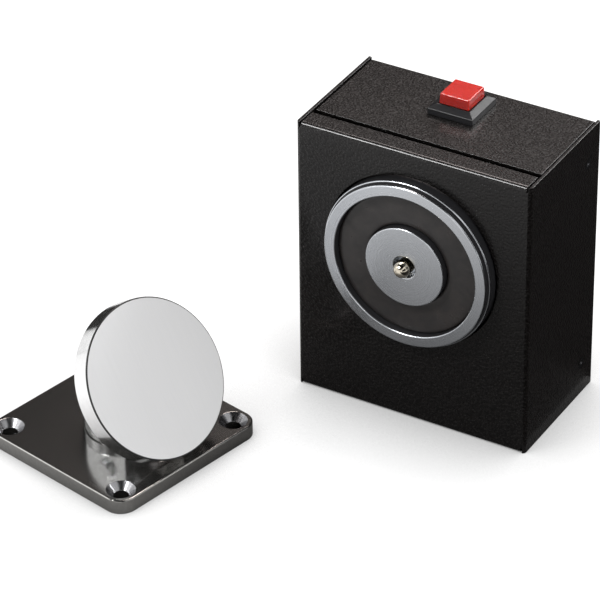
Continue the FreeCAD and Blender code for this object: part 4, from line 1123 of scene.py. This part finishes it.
@dataclass
class Studio:
    """Camera, floor, world and lamps. The floor's own sizes are in metres."""

    camera_at: Point = (580.3, -967.95, 798.4)
    azimuth: float = 30.58
    elevation: float = 33.49
    roll: float = -0.705
    focal_pixels: float = 3866.75
    frame_pixels: float = 600.0
    aim: Point = (20.0, 0.0, 60.0)
    floor_half: float = 6.0
    floor_grey: float = 0.30
    floor_glow: float = 0.8
    contact_reach: float = 0.05
    contact_level: float = 1.32
    mirrored_reach: float = 0.02
    pool_at: Point = (0.04, 0.01, 0.0)
    pool_reach: tuple[float, float] = (0.03, 0.225)
    pool_levels: tuple[float, float] = (0.05, 1.22)
    world_levels: tuple[float, float] = (0.35, 1.0)

    def build(self) -> None:
        """Builds all that isn't part of the object."""
        self.camera()
        self.floor()
        self.world()
        DarkCards().build()
        for softbox in SOFTBOXES:
            softbox.hang(self.aim)

    def camera(self) -> None:
        """Sets the camera where the photograph was taken from."""
        a, p, r = (math.radians(x) for x in (self.azimuth, self.elevation, self.roll))
        forward = Vector((-math.sin(a) * math.cos(p), math.cos(a) * math.cos(p), -math.sin(p)))
        right = Vector((math.cos(a), math.sin(a), 0.0))
        up = right.cross(forward)
        rolled_right = math.cos(r) * right + math.sin(r) * up
        rolled_up = math.cos(r) * up - math.sin(r) * right
        turn = Matrix((rolled_right, rolled_up, -forward)).transposed()
        data = bpy.data.cameras.new("camera")
        data.sensor_width = 36.0
        data.sensor_fit = "HORIZONTAL"
        data.lens = self.focal_pixels * data.sensor_width / self.frame_pixels
        data.clip_end = 20.0
        camera = bpy.data.objects.new("camera", data)
        camera.matrix_world = Matrix.Translation(Vector(self.camera_at) * MM) @ turn.to_4x4()
        bpy.context.scene.collection.objects.link(camera)
        bpy.context.scene.camera = camera

    def floor(self) -> None:
        """A plain pale floor that keeps a soft shadow: a faint real shadow in its diffuse share, and
        painted shade in its glow, from ambient occlusion beside the object for the camera and darker
        towards the housing in reflections.
        """
        half = self.floor_half
        corners = [(-half, -half, 0), (half, -half, 0), (half, half, 0), (-half, half, 0)]
        mesh = bpy.data.meshes.new("floor")
        mesh.from_pydata(corners, [], [(0, 1, 2, 3)])
        floor = link("floor", mesh)
        made = bpy.data.materials.new("floor_white")
        made.use_nodes = True
        tree = made.node_tree
        tree.nodes.clear()
        diffuse = tree.nodes.new("ShaderNodeBsdfDiffuse")
        diffuse.inputs["Color"].default_value = (*[self.floor_grey] * 3, 1.0)
        path = tree.nodes.new("ShaderNodeLightPath")
        level = tree.nodes.new("ShaderNodeMix")
        tree.links.new(path.outputs["Is Glossy Ray"], level.inputs["Factor"])
        # The glow that the camera sees is darkened by ambient occlusion beside the object: a painted
        # contact shadow.
        direct = maths(tree, "MULTIPLY", self.openness(tree, self.contact_reach, 4), self.contact_level)
        tree.links.new(direct, level.inputs["A"])
        # Reflections see the floor's glow with painted shade: darker towards the housing and near its
        # contact.
        mirrored = maths(tree, "MULTIPLY", self.painted_reflection_shade(tree), self.openness(tree, self.mirrored_reach, 2))
        tree.links.new(mirrored, level.inputs["B"])
        glow = tree.nodes.new("ShaderNodeEmission")
        tree.links.new(level.outputs["Result"], glow.inputs["Strength"])
        mix = tree.nodes.new("ShaderNodeMixShader")
        tree.links.new(maths(tree, "MULTIPLY", self.seen_rays(tree), self.floor_glow), mix.inputs["Fac"])
        tree.links.new(diffuse.outputs["BSDF"], mix.inputs[1])
        tree.links.new(glow.outputs["Emission"], mix.inputs[2])
        out = tree.nodes.new("ShaderNodeOutputMaterial")
        tree.links.new(mix.outputs["Shader"], out.inputs["Surface"])
        mesh.materials.append(made)

    def openness(self, tree: Tree, reach: float, samples: int) -> Socket:
        """Tells how little the object covers a spot of the floor.

        Args:
            tree: The floor's node tree.
            reach: How far off the object counts.
            samples: Rays for each spot.

        Returns:
            1 in the open, less beside the object.
        """
        node = tree.nodes.new("ShaderNodeAmbientOcclusion")
        node.inputs["Distance"].default_value = reach
        node.samples = samples
        return node.outputs["AO"]

    def painted_reflection_shade(self, tree: Tree) -> Socket:
        """The floor's level in reflections, which falls towards the housing: a painted shade that only
        reflections see.

        Args:
            tree: The floor's node tree.

        Returns:
            The level, by the distance from a point in front of the housing.
        """
        place = tree.nodes.new("ShaderNodeTexCoord")
        apart = tree.nodes.new("ShaderNodeVectorMath")
        apart.operation = "DISTANCE"
        apart.inputs[1].default_value = self.pool_at
        tree.links.new(place.outputs["Object"], apart.inputs[0])
        return ranged(tree, apart.outputs["Value"], self.pool_reach, self.pool_levels, smooth=True)

    def seen_rays(self, tree: Tree) -> Socket:
        """1 for camera, glossy and transmission rays, which see the background.

        Args:
            tree: The tree that the nodes go in.

        Returns:
            The value.
        """
        path = tree.nodes.new("ShaderNodeLightPath").outputs
        total = maths(tree, "MAXIMUM", path["Is Camera Ray"], path["Is Glossy Ray"])
        return maths(tree, "MAXIMUM", total, path["Is Transmission Ray"])

    def world(self) -> None:
        """White to the eye and in reflections, and a softer level on the object."""
        world = bpy.data.worlds.new("studio")
        world.use_nodes = True
        tree = world.node_tree
        back = tree.nodes["Background"].inputs
        back["Color"].default_value = (1.0, 1.0, 1.0, 1.0)
        level = ranged(tree, self.seen_rays(tree), target=self.world_levels)
        tree.links.new(level, back["Strength"])
        bpy.context.scene.world = world


def dress_hidden_nodes() -> None:
    """Gives the pieces inside the housing and under the disc their finishes."""
    for node, finish in HIDDEN_NODES.items():
        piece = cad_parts[node]
        if not piece.data.materials:
            piece.data.materials.append(finish.material())
        for index in range(len(piece.material_slots)):
            piece.material_slots[index].material = finish.material()
        LOG.info("%s: %s", node, finish.name)


def main() -> None:
    """Builds every piece in order."""
    logging.basicConfig(level=logging.INFO, format="%(name)s: %(message)s")
    Studio().build()
    Housing().build()
    Magnet().build()
    PushButton().build()
    PressedSpring("ejector_spring", "pin_spring", "ejector_press", (0.0, 1.0, 0.0), 4.4).build()
    PressedSpring("button_spring", "cap_spring", "button_press", (0.0, 0.0, -1.0), 2.0).build()
    Armature().build()
    dress_hidden_nodes()
    bpy.context.scene.view_settings.view_transform = "Standard"


if __name__ == "__main__":
    main()
